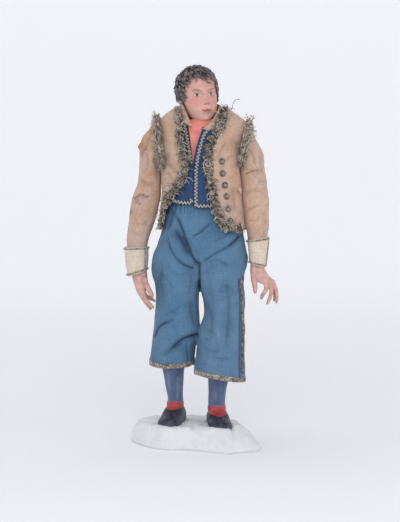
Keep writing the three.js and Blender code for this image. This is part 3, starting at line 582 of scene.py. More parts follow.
creamLook = {
    "colour": "#d9c6b2", "faded": "#decfc2", "stain_and_painted_light": "#c2a47f", "dirt_and_shade": "#8a7358", "dark": "#9c8468",
    "patch": 12, "stainSize": 6, "stained": 0.6, "thread": 0.9, "slub": 0.12, "fleck": 0.08,
    "rumple": 5, "rumpleDepth": 0.3, "depth": 0.4, "roughness": 0.7, "sheen": 0.2,
}
tanSilk = wovenCloth("wornTanSilk", tanLook)
blueCotton = wovenCloth("blueCottonSilk", blueLook)
navySilk = wovenCloth("navySilk", navyLook)
coralSilk = wovenCloth("coralSilk", coralLook)
creamSilk = wovenCloth("creamSilk", creamLook)
fringeGilt = dullGilt("fringeGilt", "#2a2525", "#a89a8a", "#e8dfd2", 0.1)
braidGilt = dullGilt("braidGilt", "#332d2f", "#93877d", "#d6cabd", 0.1)
silverGilt = dullGilt("silverGilt", "#3c3a38", "#b9af92", "#e8e0c6", 0.2)
headPaint = oilPaint("paintedTerracotta", 0.42, 1.2, 0.08)
handPaint = oilPaint("paintedHands", 0.45, 1.4, 0.1)
legPaint = oilPaint("paintedLegs", 0.5, 1.6, 0.14)
plaster = castPlaster("castPlaster")
print("materials made")


def makeStage():
    # A round floor that curves up into a wall all round, so that every view has the same plain ground
    flat, radius = stage["floorRadius"], stage["coveRadius"]

    def place(u, v):
        run = (1 - v) * (flat + stage["wallHeight"] + radius * (math.pi / 2 - 1))
        turn = np.clip((run - flat) / radius, 0, math.pi / 2)
        up = np.maximum(run - flat - radius * math.pi / 2, 0)
        far = np.minimum(run, flat) + radius * np.sin(turn)
        return np.stack([far * np.cos(2 * math.pi * u), far * np.sin(2 * math.pi * u),
                         radius * (1 - np.cos(turn)) + up], axis=1)

    floor = gridPiece("paleFloor", 96, 80, place, ring=True)
    edited(floor, lambda bm: bmesh.ops.reverse_faces(bm, faces=bm.faces))
    floor.data.materials.append(paleFloor())
    world = bpy.data.worlds.new("studio")
    bpy.context.scene.world = world
    world.use_nodes = True
    world.node_tree.nodes["Background"].inputs["Color"].default_value = linear("#f4f4f7")
    world.node_tree.nodes["Background"].inputs["Strength"].default_value = 0.18


makeStage()


# The trunk's form, which the shirt, waistcoat and jacket follow at growing lifts. Sections are
# [x, y, z, half width, half depth], top to bottom.

trunk = {
    "power": 2.3,
    "sections": [
        [6, 3, 340, 15, 6], [6, 3, 336, 23.5, 9.5], [6.5, 3, 331, 31, 12.8], [7.5, 2.5, 326, 37, 16],
        [8.5, 2, 319, 39.6, 19.5], [7.5, 1.5, 308, 37.5, 23], [6.2, 1, 294, 35, 25], [6.5, 0.5, 275, 34.5, 25.5],
        [7.3, 0, 256, 35, 25.5], [7.4, 0, 240, 36.4, 26.5], [7.5, 0, 226, 38.4, 28], [7.5, 0, 206, 41, 30.5],
    ],
}
trunkShares = np.linspace(0, 1, 600)
trunkHeights = splineAt([s[:3] for s in trunk["sections"]], trunkShares)[:, 2]


def trunkShare(z):
    return np.interp(-np.asarray(z, float), -trunkHeights, trunkShares)


def trunkRow(t):
    sections = np.array(trunk["sections"], float)
    middle = splineAt(sections[:, :3], t)
    wide, deep = splineAt(sections[:, 3:5], t).T
    return middle, wide, deep


# The front of the trunk over [x, z] at a lift, and which way it faces there
def onTrunk(x, z, lift):
    middle, wide, deep = trunkRow(trunkShare(z))
    share = np.clip(np.abs(x - middle[:, 0]) / (wide + lift), 0, 0.995)
    y = middle[:, 1] - (deep + lift) * (1 - share ** trunk["power"]) ** (1 / trunk["power"])
    return np.stack([x, y, z], axis=1)


def outOfTrunk(x, z, lift):
    step = 0.4
    across = onTrunk(x + step, z, lift) - onTrunk(x - step, z, lift)
    up = onTrunk(x, z + step, lift) - onTrunk(x, z - step, lift)
    return unit(np.cross(across, up))


def frontAngle(x, middle, wide, power):
    share = np.clip((x - middle) / wide, -0.995, 0.995)
    return -np.arccos(np.sign(share) * np.abs(share) ** (power / 2))


# A sheet worn on the trunk, from its left front edge round the back to its right front edge. The edges are
# [x, z] points, top to bottom.
def wornSheet(name, columns, rows, top, foot, leftEdge, rightEdge, lift):
    tops, feet = trunkShare(top), trunkShare(foot)

    def place(u, v):
        t = tops + v * (feet - tops)
        middle, wide, deep = trunkRow(t)
        ends = []
        for edge in (leftEdge, rightEdge):
            line = evenLine(edge, 80)[::-1]
            x = np.interp(middle[:, 2], line[:, 1], line[:, 0])
            ends.append(frontAngle(x, middle[:, 0], wide + lift, trunk["power"]))
        angle = ends[0] + u * (ends[1] + 2 * math.pi - ends[0])
        return skinAt(trunk["sections"], t, angle, lift, trunk["power"])

    return gridPiece(name, columns, rows, place, uvSize=(2 * math.pi * 36, top - foot))


# Moves a piece's points along their normals, and keeps painted shade, with some dirt, in the hollows and along the dark
# lines for the material
def relieved(piece, amount, dark=0):
    setPoints(piece, getPoints(piece) + getNormals(piece) * amount[:, None])
    painted(piece, "fold_shade_and_dirt", np.clip(0.5 * np.clip(-amount / 3, 0, 1) + dark, 0, 1))


def spots(p, marks):
    total = np.zeros(len(p))
    for x, y, z, radius, strength in marks:
        far = np.sqrt((p[:, 0] - x) ** 2 + (p[:, 1] - y) ** 2 + (p[:, 2] - z) ** 2)
        total = np.maximum(total, strength * bump(far, radius))
    return total


# Shirt: thin silk over the wrapped body, which shows in the opening

def makeShirt():
    top, foot = 326.0, 246.8
    piece = gridPiece("shirtSilk", 76, 54, lambda u, v: skinAt(
        trunk["sections"], trunkShare(top) + v * (trunkShare(foot) - trunkShare(top)), u * 2 * math.pi, 0.2,
        trunk["power"]), ring=True, uvSize=(220, 80))
    p, n = getPoints(piece), getNormals(piece)
    folds = [
        {"line": [[-3, 322], [-1, 305], [-0.6, 285]], "half": 1.2, "depth": 1.0},
        {"line": [[4, 320], [2.4, 304], [0.6, 288]], "half": 1.0, "depth": 0.8},
        {"line": [[-6, 318], [2, 314], [8, 318]], "half": 1.4, "depth": 0.7},
    ]
    amount, dark = folded(p, n, folds)
    relieved(piece, amount + 0.3 * waves(p, 9, 5, (1, 1, 2.5)), dark)
    thickened(piece, 0.5)
    return handed(piece, coralSilk, "coral_silk", "shirt")


# Waistcoat

waistcoat = {
    "lift": 2.2,
    "leftEdge": [[11, 338], [8, 319], [6, 312], [3.4, 304.5], [1.4, 297.5], [-0.5, 288], [-1.2, 281], [-1.1, 260],
                 [-1.1, 237]],
    "rightEdge": [[-9.8, 338], [-6.6, 321.5], [-3.8, 303], [-1.7, 284], [-1.2, 276], [-1.2, 260], [-1.2, 242.5]],
    "footRight": 242.5,
    "footLeft": 238.8,
    "braidRight": [[-10.4, 325], [-8.6, 315], [-6.8, 306], [-4.8, 295], [-3.2, 283]],
    "braidHemRight": [[-24, 247], [-12, 244.6], [-3.4, 244.6], [-2.6, 248]],
    "braidLeft": [[15.5, 318], [10.6, 312.5], [6.9, 303], [4, 291], [2.2, 279], [1.6, 262], [1.6, 247], [1.8, 241.6],
                  [7, 241], [14, 241.2], [25, 241.8]],
}


def makeWaistcoat():
    look = waistcoat
    # Two front panels and the back between them, as one sheet
    piece = wornSheet("waistcoatSilk", 124, 80, 336.0, look["footLeft"], look["leftEdge"], look["rightEdge"],
                      look["lift"])

    def shorten(bm):
        # Its top ends under the collar, and its right panel's foot is higher than the left one's
        bmesh.ops.bisect_plane(bm, geom=bm.verts[:] + bm.edges[:] + bm.faces[:], plane_co=Vector((6, 0, 326.4)) * mm,
                               plane_no=Vector((0.19, -0.36, 1)), clear_outer=True)
        bmesh.ops.bisect_plane(bm, geom=bm.verts[:] + bm.edges[:] + bm.faces[:],
                               plane_co=(0, 0, look["footRight"] * mm), plane_no=(0, 0, 1))
        cut = [f for f in bm.faces if f.calc_center_median().z < look["footRight"] * mm
               and f.calc_center_median().x < 0 and f.calc_center_median().y < 0]
        bmesh.ops.delete(bm, geom=cut, context="FACES")
    edited(piece, shorten)
    p, n = getPoints(piece), getNormals(piece)
    folds = [
        {"line": [[6, 262], [16, 256], [22, 258]], "half": 2, "depth": 0.7},
        {"line": [[-14, 262], [-6, 254]], "half": 2, "depth": 0.7},
        {"line": [[-18, 276], [-8, 262]], "half": 2.4, "depth": 0.8},
    ]
    amount, dark = folded(p, n, folds)
    relieved(piece, amount + 0.28 * waves(p, 14, 8, (1, 1, 1.8)), dark)
    p = getPoints(piece)
    edge = np.vstack([evenLine(look["leftEdge"], 60), evenLine([[-9, 325], [-5, 297], [-1.4, 281]], 20)])
    near = np.min(np.linalg.norm(p[:, None, [0, 2]] - edge[None, :, :], axis=2), axis=1)
    painted(piece, "rust_and_painted_light", 0.9 * bump(near, 2.2, 4) * (p[:, 1] < 0) * (p[:, 0] > 0))
    # The right panel's upper front is painted darker
    painted(piece, "dirt_and_shade", 0.7 * (p[:, 1] < 0) * soft(-p[:, 0], 1, 4) * soft(p[:, 2], 272, 292))
    thickened(piece, 1.1)
    return handed(piece, navySilk, "navy_silk", "waistcoat")


# Jacket

jacket = {
    "lift": 5.0,
    "top": 338.0,
    "foot": 217.0,
    "rightEdge": [[-16, 339], [-15, 322], [-13, 302], [-9, 287], [-7, 278], [-12, 267], [-19, 257], [-25, 248],
                  [-29, 238], [-31, 227], [-33, 216]],
    "leftEdge": [[29, 339], [26.5, 324], [20.5, 310], [16.5, 297], [16.5, 282], [18.5, 267], [21, 252], [24, 237],
                 [27, 226], [33, 216]],
    "folds": [
        {"line": [[-26, 318], [-24, 300], [-26, 286]], "half": 6, "depth": -1.5},
        {"line": [[-18, 320], [-19, 300], [-15, 288]], "half": 2, "depth": 0.8},
        {"line": [[-28, 284], [-21, 277], [-12, 272]], "half": 2.2, "depth": 1.6},
        {"line": [[-30, 276], [-22, 268], [-18, 262]], "half": 2, "depth": 1.2},
        {"line": [[-26, 266], [-25, 250]], "half": 4, "depth": -1.0},
        {"line": [[28, 314], [22, 300]], "half": 6, "depth": -1.2},
        {"line": [[33, 306], [26, 296], [24, 284]], "half": 2, "depth": 0.9},
        {"line": [[40, 292], [30, 284], [26, 272]], "half": 2.2, "depth": 1.0},
        {"line": [[38, 262], [41, 234]], "half": 5, "depth": 1.3},
        {"line": [[30, 246], [37, 236]], "half": 1.6, "depth": 0.9},
        {"line": [[6, 330], [6, 280], [7, 218]], "half": 1.0, "depth": 0.9, "back": True, "fade": (0.02, 0.02)},
        {"line": [[-22, 300], [-16, 262], [-18, 218]], "half": 4, "depth": -1.2, "back": True},
        {"line": [[34, 300], [28, 262], [32, 218]], "half": 4, "depth": -1.2, "back": True},
        {"line": [[-26, 314], [2, 306], [32, 312]], "half": 2.4, "depth": 0.9, "back": True},
        {"line": [[-24, 262], [-8, 254], [6, 258]], "half": 2.2, "depth": 1.1, "back": True},
        {"line": [[8, 248], [24, 252], [38, 262]], "half": 2.2, "depth": 1.1, "back": True},
    ],
}


def makeJacket():
    look = jacket
    piece = wornSheet("jacketSilk", 160, 104, look["top"], look["foot"], look["leftEdge"], look["rightEdge"],
                      look["lift"])
    p, n = getPoints(piece), getNormals(piece)
    amount, dark = folded(p, n, look["folds"])
    thin = creased(p, 30, 13, (1.4, 1.4, 1))
    relieved(piece, amount + 0.35 * waves(p, 16, 11, (1, 1, 1.6)) + 0.14 * waves(p, 5, 12) - 0.45 * thin,
             dark + 0.3 * thin)
    p = getPoints(piece)
    painted(piece, "rust_and_painted_light", spots(p, [(-22, -24, 318, 9, 0.35), (-14, -28, 268, 7, 0.45), (-17, -28, 282, 5, 0.5),
                                     (34, -22, 300, 12, 0.35), (40, -18, 268, 8, 0.3), (44, -12, 256, 5, 0.8)]))
    painted(piece, "dirt_and_shade", spots(p, [(-22, -28, 274, 1.6, 1.0), (-18, -28, 279, 1.4, 0.6), (42, -14, 256, 2.2, 1.0)]))
    thickened(piece, 1.3)
    return handed(piece, tanSilk, "tan_silk", "jacket")


# Collar: a standing collar whose front corners fall open

collar = {
    "power": 2.6,
    "sections": [[6, 1.5, 341, 20.4, 18.6, -4, 8], [6, 0.5, 333, 20.8, 21.4, -8, 14], [6, 0, 325.5, 21.6, 24, -11, 20]],
    "leftAngles": [[-24], [-58], [-88]],
    "rightAngles": [[-150], [-124], [-107]],
}


def collarPoint(u, v):
    left = np.radians(splineAt(collar["leftAngles"], v)[:, 0])
    right = np.radians(splineAt(collar["rightAngles"], v)[:, 0]) + 2 * math.pi
    return skinAt(collar["sections"], v, left + u * (right - left), 0.0, collar["power"])


def makeCollar():
    piece = gridPiece("collarSilk", 110, 22, collarPoint, uvSize=(110, 18))
    p = getPoints(piece)
    relieved(piece, 0.35 * waves(p, 12, 21, (1, 1, 2)))
    thickened(piece, 1.3)
    return handed(piece, tanSilk, "tan_silk", "jacket_collar")


# Breeches: full cotton and silk breeches, gathered at the waist and open at the hems

breeches = {
    "seat": [[6.8, 0, 247.2, 33.6, 24.2], [6.9, 0, 239, 34.6, 25], [7.2, 0, 230, 37.4, 27], [7.5, 0, 218, 40.2, 29.4],
             [6.8, 0, 204, 43.6, 31.4], [5.6, 0, 190, 46, 31.6], [5, 0, 178, 44, 27], [5, 0, 168, 34, 18]],
    "right": [[-12, 0.5, 214, 19, 26], [-18, 0.5, 190, 23.6, 30.4], [-19, 1, 176, 23.8, 29.4],
              [-16.6, 2, 158, 21.8, 26.6], [-16.8, 3, 145, 21.2, 24.6], [-17.2, 4, 127, 22.8, 23.6],
              [-17.6, 5, 113, 23.4, 23], [-20.4, 6, 98, 22.4, 22], [-22.6, 6.5, 81.5, 22.6, 21.4]],
    "left": [[26, -0.5, 214, 19, 26], [28.4, -1, 190, 24, 30.4], [27.6, -1.5, 177, 23.8, 29.4],
             [26.8, -2.5, 163, 21.8, 26.8], [29.4, -3.5, 146, 20.6, 24.8], [29.6, -4, 133, 19.8, 23.8],
             [27.2, -4.5, 115, 23.6, 23.4], [25.8, -5.5, 95, 24, 23.4], [23.2, -6, 70, 27.2, 23.8]],
    "hems": {"right": {"at": (-22.6, 6.5, 81.5), "tilt": 1, "pitch": 8}, "left": {"at": (23.2, -6, 70), "tilt": -10,
                                                                                 "pitch": 2}},
    "waist": 246.3,
    "voxel": 1.3,
    "folds": [
        {"line": [[-21.2, 237], [-15.6, 226], [-12, 217.6], [-6.4, 202], [0, 188], [5, 182.5]], "half": 1.6,
         "depth": 2.4, "dark": 0.8, "fade": (0.2, 0.03)},
        {"line": [[-22, 222], [-15, 210], [-8, 198], [-3, 190]], "half": 5.0, "depth": 3.0, "dark": 0.55, "side": 1},
        {"line": [[-13.5, 213], [-10, 206], [-6.8, 199.5]], "half": 2.2, "depth": 1.8, "dark": 0.9},
        {"line": [[-27.6, 214.6], [-25.5, 204.7], [-20.5, 193.8], [-12.2, 184.3], [0.6, 178]], "half": 1.5,
         "depth": 2.0, "dark": 0.75, "fade": (0.25, 0.08)},
        {"line": [[17.3, 226], [7.5, 217], [-3.7, 209.7]], "half": 0.9, "depth": 1.5, "dark": 0.7},
        {"line": [[45.5, 211], [40, 206.5], [35.8, 203.4], [29, 200]], "half": 2.0, "depth": 3.0, "dark": 0.95,
         "fade": (0.02, 0.4)},
        {"line": [[35.8, 203.4], [24.5, 197], [14, 190], [6, 184]], "half": 1.3, "depth": 1.6, "dark": 0.5},
        {"line": [[-20, 240], [-23, 228], [-27, 216]], "half": 1.6, "depth": 1.2, "dark": 0.5},
        {"line": [[42, -20, 176], [48, -8, 174], [50, 4, 174]], "half": 3.0, "depth": 3.2, "dark": 0.8,
         "fade": (0.3, 0.1)},
        {"line": [[46, -12, 190], [50, -2, 188]], "half": 6.0, "depth": -1.6},
        {"line": [[40, 220], [28, 210], [16, 206]], "half": 3.0, "depth": 1.0},
        {"line": [[36, 180], [22, 188], [8, 184]], "half": 3.0, "depth": 1.0},
        {"line": [[5, 186], [5, 178], [5.4, 157]], "half": 1.3, "depth": 2.8, "dark": 0.9, "fade": (0.05, 0.05)},
        {"line": [[-42, 108], [-39.6, 113], [-36, 120], [-26.2, 125.7], [-16.3, 128.6]], "half": 1.9, "depth": 2.8,
         "dark": 0.85, "fade": (0.02, 0.5)},
        {"line": [[-30, 133], [-20, 137], [-12, 143]], "half": 1.6, "depth": 0.8},
        {"line": [[-27.6, 93.9], [-19.2, 101.9], [-9.3, 108.8], [4, 111.8]], "half": 2.4, "depth": 3.6, "dark": 0.95,
         "fade": (0.4, 0.02)},
        {"line": [[-33, 90], [-20, 100], [-8, 104]], "half": 4.0, "depth": 1.2},
        {"line": [[-8.3, 106], [-6.6, 96], [-6, 84]], "half": 0.9, "depth": 1.2, "fade": (0.1, 0.02)},
        {"line": [[-4, 150], [-2, 132], [1, 118]], "half": 3.0, "depth": 1.4},
        {"line": [[10, 150], [17, 128], [15, 108]], "half": 4.0, "depth": 1.0},
        {"line": [[31, 176], [34, 140], [31, 96]], "half": 5.0, "depth": 0.9},
        {"line": [[14, 94], [26, 90], [40, 92]], "half": 3.0, "depth": 0.7},
        {"line": [[-30, 186], [-34, 166], [-30, 148]], "half": 4.0, "depth": 0.9},
        {"line": [[6, 244], [6, 205], [5, 176]], "half": 1.6, "depth": 2.4, "back": True, "fade": (0.1, 0.02)},
        {"line": [[-34, 214], [-16, 192], [2, 184]], "half": 2.6, "depth": 2.0, "back": True},
        {"line": [[46, 214], [28, 192], [8, 184]], "half": 2.6, "depth": 2.0, "back": True},
        {"line": [[-28, 180], [-12, 162], [-22, 138]], "half": 5, "depth": 2.0, "back": True},
        {"line": [[38, 180], [22, 162], [32, 138]], "half": 5, "depth": 2.0, "back": True},
        {"line": [[-38, 128], [-22, 116], [-4, 118]], "half": 2.4, "depth": 2.2, "back": True},
        {"line": [[-34, 112], [-18, 104], [-4, 108]], "half": 2.2, "depth": 1.6, "back": True},
        {"line": [[46, 124], [30, 112], [10, 116]], "half": 2.4, "depth": 2.0, "back": True},
        {"line": [[42, 104], [26, 98], [12, 102]], "half": 2.2, "depth": 1.4, "back": True},
    ],
}


# The slanted gap between the two legs, where the left one stands in front. Above it they touch.
def legsParted(p, side):
    heights = [75, 98, 113, 133, 160]
    middle = np.interp(p[:, 2], heights, [-0.8, 1.2, 4.5, 4.8, 5.2])
    middle += np.interp(p[:, 2], heights, [0.16, 0.13, 0.1, 0.04, 0.0]) * p[:, 1]
    gap = np.interp(p[:, 2], [98, 112, 122, 148, 157], [0.9, 0.4, 0.7, 0.7, 0.2])
    apart = middle - gap if side == "right" else middle + gap
    over = (p[:, 0] - apart) * (1 if side == "right" else -1)
    pushed = np.where(over > -3, np.maximum(over, -3 + 0 * over) - (over + 3) ** 2 / 12, over)
    inside = np.where(over > 3, 0, np.where(over > -3, pushed, over))
    low = soft(-p[:, 2], -176, -158)
    p[:, 0] += low * (inside - over) * (1 if side == "right" else -1)
    return p


def breechesLeg(side):
    sections = breeches[side]
    end = sections[-1]
    longer = sections + [[end[0], end[1], end[2] - 12, *end[3:]]]
    piece = loftPiece(side, longer, 56, 84)
    setPoints(piece, legsParted(getPoints(piece), side))
    return piece


def hemPlane(side):
    hem = breeches["hems"][side]
    tilt, pitch = math.radians(hem["tilt"]), math.radians(hem["pitch"])
    return Vector(hem["at"]), Vector((-math.tan(tilt), -math.tan(pitch), 1)).normalized()


def makeBreeches():
    look = breeches
    seat = loftPiece("seat", look["seat"], 72, 40)
    piece = remeshed(merged("breechesCloth", [seat, breechesLeg("right"), breechesLeg("left")]), look["voxel"], 5)

    def opened(bm):
        bmesh.ops.bisect_plane(bm, geom=bm.verts[:] + bm.edges[:] + bm.faces[:], plane_co=(0, 0, look["waist"] * mm),
                               plane_no=(0, 0, 1), clear_outer=True)
        for side, sign in (("right", -1), ("left", 1)):
            at, up = hemPlane(side)
            near = [f for f in bm.faces if f.calc_center_median().z < 0.12
                    and (f.calc_center_median().x - 0.001 - 0.11 * f.calc_center_median().y) * sign > 0]
            parts = set(near)
            for face in near:
                parts.update(face.edges)
                parts.update(face.verts)
            bmesh.ops.bisect_plane(bm, geom=list(parts), plane_co=at * mm, plane_no=up, clear_inner=True)
        loose = [v for v in bm.verts if not v.link_faces]
        bmesh.ops.delete(bm, geom=loose, context="VERTS")
    edited(piece, opened)
    p, n = getPoints(piece), getNormals(piece)
    amount, dark = folded(p, n, look["folds"])
    # Gathers hang from the waist and die away over the hips, with painted shade in their valleys
    gather = soft(p[:, 2], 222, 246)
    turn = np.arctan2(p[:, 1], p[:, 0] - 7)
    pleat = np.sin(turn * 46 + 1.6 * np.sin(turn * 9) + 0.03 * p[:, 2])
    amount += gather ** 1.5 * 0.9 * pleat
    dark += 0.5 * gather ** 1.5 * soft(-pleat, 0, 1)
    thin = creased(p, 34, 33, (1, 1, 1.2)) + 0.7 * creased(p, 17, 34, (1, 1, 0.6))
    amount += 0.5 * waves(p, 26, 31, (1, 1, 1.8)) + 0.16 * waves(p, 8, 32, (1, 1, 1.5)) - 0.5 * thin
    # The slit behind the side braid: pressed in, and painted with shade
    turn = np.degrees(np.arctan2(p[:, 1] + 3.5, p[:, 0] - 28))
    slit = bump(turn + 22, 10, 4) * soft(p[:, 2], 122, 130) * soft(-p[:, 2], -173, -168) * (p[:, 0] > 30)
    slit = np.maximum(slit, 0.8 * bump(turn + 47, 3, 2) * soft(-p[:, 2], -171, -167) * (p[:, 0] > 30))
    amount -= 1.2 * slit
    relieved(piece, amount, dark + 0.22 * thin + 0.9 * slit)
    p = getPoints(piece)
    threads = np.stack([np.arctan2(p[:, 1], p[:, 0] - np.where(p[:, 0] > 5, 28, -18)) * 22, p[:, 2]], axis=1)
    withUV(piece, threads)
    # Dark spots in the pits of the deepest creases, at the crotch, by the hip and at the side slit: painted shade
    painted(piece, "dirt_and_shade", spots(p, [(-34.5, -14, 92, 1.4, 1.0), (-25, -17, 108, 1.0, 0.7), (44, -8, 186, 5, 0.7),
                                     (0, -26, 187, 4, 0.5), (48, 4, 128, 3, 0.5)]))
    # The lower left leg is painted lighter: painted light
    painted(piece, "rust_and_painted_light", 0.4 * soft(p[:, 0], 2, 9) * soft(-p[:, 2], -186, -170) * (p[:, 1] < 4))
    thickened(piece, 1.0)
    return handed(piece, blueCotton, "blue_cloth", "breeches")


# A UV map in millimetres from a pair of numbers for each point
def withUV(piece, pairs):
    mesh = piece.data
    layer = mesh.uv_layers.new(name="cloth")
    corners = np.empty(len(mesh.loops), np.int32)
    mesh.loops.foreach_get("vertex_index", corners)
    layer.data.foreach_set("uv", pairs[corners].astype(np.float32).ravel())


# Sleeves

sleeves = {
    "right": {
        "sections": [[-36, 1.5, 325, 2.6, 7], [-38, 1.5, 317, 6.8, 12.6], [-41, 1.5, 306, 9.4, 15],
                     [-43.4, 2, 293, 11.4, 15], [-44.2, 3, 280, 10.8, 14], [-45.2, 4, 265, 11.6, 13.6],
                     [-48.6, 4.5, 246, 14, 13.6], [-52.6, 2.5, 226, 13.4, 12.6], [-56.4, -0.5, 207, 11.2, 11, 2],
                     [-57.4, -2, 199, 10, 10, 3], [-57, -3, 190, 8.2, 8.4, 8]],
        "folds": [
            {"line": [[-61, 246.5], [-57, 249.5], [-53, 252], [-48, 249.6], [-45, 249]], "half": 1.1, "depth": 1.5,
             "dark": 1.2, "fade": (0.02, 0.1)},
            {"line": [[-59, 247], [-56, 243.5], [-52, 241]], "half": 0.9, "depth": 1.0, "dark": 1.0},
            {"line": [[-66, -2, 246], [-61, -9, 246.5]], "half": 1.2, "depth": 1.4, "dark": 0.9, "fade": (0.02, 0.02)},
            {"line": [[-44, -11, 267], [-39, -10.5, 261.5], [-34, -8, 255]], "half": 1.8, "depth": 2.4, "dark": 1.0,
             "fade": (0.3, 0.02)},
            # The frayed brown puff that stands out at the top of the arm, and the deep crease beside it
            {"line": [[-41, -7, 315], [-46.5, -6, 308], [-51.5, -4, 301], [-54.5, -2, 297]], "half": 3.6, "depth": -3.4,
             "fade": (0.2, 0.02)},
            {"line": [[-40, -12, 313], [-44.5, -11.5, 307], [-47.5, -11, 299], [-51, -8.5, 295], [-53.5, -6.5, 286]],
             "half": 1.1, "depth": 2.0, "dark": 1.1, "ridge": 0.1},
            {"line": [[-56, -2, 291], [-57, 1, 289]], "half": 2.4, "depth": 1.6, "dark": 0.6},
            {"line": [[-56, 268], [-46, 262], [-36, 264]], "half": 2.4, "depth": 1.2},
            {"line": [[-50, 296], [-46, 284], [-50, 272]], "half": 2.2, "depth": 1.2},
            {"line": [[-40, 290], [-37, 276], [-38, 264]], "half": 2.2, "depth": 1.2},
            {"line": [[-52, 312], [-50, 300], [-44, 292]], "half": 1.6, "depth": 1.4},
            {"line": [[-62, 232], [-55, 222], [-44, 226]], "half": 2.4, "depth": 1.0},
            {"line": [[-64, 218], [-56, 212], [-48, 214]], "half": 1.8, "depth": 0.9},
            {"line": [[-56, 262], [-46, 254], [-40, 258]], "half": 2.4, "depth": 1.6, "back": True},
            {"line": [[-56, 246], [-48, 242], [-42, 246]], "half": 2.2, "depth": 1.4, "back": True},
        ],
        "rust_and_painted_light": [(-42, -8, 314, 5, 1.0), (-48, -6, 306, 6, 1.0), (-54, -3, 299, 6, 1.0), (-56, -1, 292, 4, 0.9),
                 (-39, -13, 286, 3, 0.9), (-46, -12, 300, 6, 0.3), (-44, -11, 272, 7, 0.55),
                 (-50, -9, 262, 6, 0.5), (-56, -8, 232, 6, 0.35), (-60, -6, 246, 5, 0.3), (-48, -8, 236, 6, 0.4)],
        "dirt_and_shade": [(-56, -2, 294, 2, 0.8), (-64, -2, 234, 3, 0.9), (-66, -2, 216, 2.4, 0.9), (-66, 0, 222, 2, 0.7),
                 (-57, -9, 247, 1.6, 0.8), (-52, -10, 249, 1.4, 0.8)],
    },
    "left": {
        "sections": [[49, 1.5, 322, 2.6, 7], [51, 1.5, 315, 6.6, 12.4], [53.4, 1, 304, 9.4, 14.6],
                     [56.6, 0.5, 290, 12.2, 15], [57.6, 0, 276, 12.8, 14.4], [59.4, -1, 262, 13, 13.8],
                     [61, -3, 246, 13, 13.4], [62, -7, 228, 12.2, 12.4], [62.4, -11, 211, 10.2, 10.4, 6],
                     [62.4, -13, 203, 8.8, 9, 4], [62.4, -14, 196, 7.4, 7.6, 0]],
        "folds": [
            {"line": [[48, 270.6], [52, 273], [58.5, 275], [65.5, 277.3]], "half": 0.9, "depth": 1.4, "dark": 0.8},
            {"line": [[50, 236], [57, 238.6], [66, 243]], "half": 1.0, "depth": 1.1, "dark": 0.5},
            {"line": [[52, 300], [58, 290], [60, 278]], "half": 2.6, "depth": 1.0},
            {"line": [[66, 296], [66, 280], [70, 266]], "half": 2.4, "depth": 0.8},
            {"line": [[48, 252], [58, 256], [70, 252]], "half": 2.4, "depth": 0.9},
            {"line": [[66, 232], [60, 226], [52, 228]], "half": 2.0, "depth": 0.8},
            {"line": [[50, 258], [60, 250], [70, 256]], "half": 2.4, "depth": 1.6, "back": True},
            {"line": [[50, 244], [60, 238], [70, 244]], "half": 2.2, "depth": 1.2, "back": True},
        ],
        "rust_and_painted_light": [(52, -12, 300, 7, 0.25), (70, -4, 250, 6, 0.2), (56, -15, 216, 6, 0.2)],
        "dirt_and_shade": [(73, -2, 238, 1.6, 0.5)],
    },
}


def makeSleeve(side):
    look = sleeves[side]
    piece = gridPiece("sleeveSilk_" + side, 64, 110, lambda u, v: skinAt(look["sections"], v, u * 2 * math.pi),
                      ring=True, uvSize=(78, 135))
    p, n = getPoints(piece), getNormals(piece)
    seed = 41 if side == "right" else 45
    amount, dark = folded(p, n, look["folds"])
    thin = creased(p, 26, seed + 2, (1, 1, 1.3)) + 0.6 * creased(p, 13, seed + 3, (0.6, 1, 1.2))
    amount += 0.4 * waves(p, 20, seed, (1.4, 1.4, 1)) + 0.15 * waves(p, 6, seed + 1) - 0.4 * thin
    # The seam down the inner arm
    inner = 1 if side == "right" else -1
    middle = splineAt([s[:2] + s[2:3] for s in look["sections"]], np.clip((325 - p[:, 2]) / 130, 0, 1))
    seamFar = np.abs(p[:, 1] - middle[:, 1] + 4)
    amount -= 0.5 * bump(seamFar, 0.8) * ((p[:, 0] - middle[:, 0]) * inner > 0)
    relieved(piece, amount, dark + 0.3 * thin)
    p = getPoints(piece)
    painted(piece, "rust_and_painted_light", spots(p, look["rust_and_painted_light"]))
    painted(piece, "dirt_and_shade", spots(p, look["dirt_and_shade"]))
    thickened(piece, 1.0)
    return handed(piece, tanSilk, "tan_silk", "sleeve_" + side)


# Cuffs: straight silk cuffs with a slit, and braid round both edges

cuffs = {
    "right": {"sections": [[-58, -1.5, 199.5, 11.6, 11.4, 2], [-57.4, -2.6, 187, 11.2, 10.8, 9],
                           [-56.9, -3.6, 172.8, 10, 9.6, 18]], "slit": -45},
    "left": {"sections": [[62.8, -12, 208.6, 11.2, 11, 9], [62.6, -14, 195, 9.8, 9.6, -3],
                          [62.4, -15.6, 181.6, 8.4, 8.2, -14]], "slit": 8},
    "wall": {"right": 0.4, "left": -0.4},
    "edges": (0.06, 0.93),
}


def makeCuff(side):
    look = cuffs[side]
    wall = cuffs["wall"][side]
    slit = math.radians(look["slit"])

    def place(u, v):
        point = skinAt(look["sections"], v, slit + 0.02 + u * (2 * math.pi - 0.04), wall)
        return point
    piece = gridPiece("cuffSilk_" + side, 64, 34, place, uvSize=(66, 27))
    p = getPoints(piece)
    relieved(piece, 0.22 * waves(p, 9, 52 if side == "right" else 53, (1, 1, 2)))
    thickened(piece, 1.0)
    return handed(piece, creamSilk, "cream_silk", "cuff_" + side)


makeShirt()
makeWaistcoat()
makeJacket()
makeCollar()
makeBreeches()
for side in ("right", "left"):
    makeSleeve(side)
    makeCuff(side)
print("clothes made")


# Trims. Those on the jacket front, the waistcoat and the breeches lie on the cloth itself, found by rays, so they
# follow the folds.

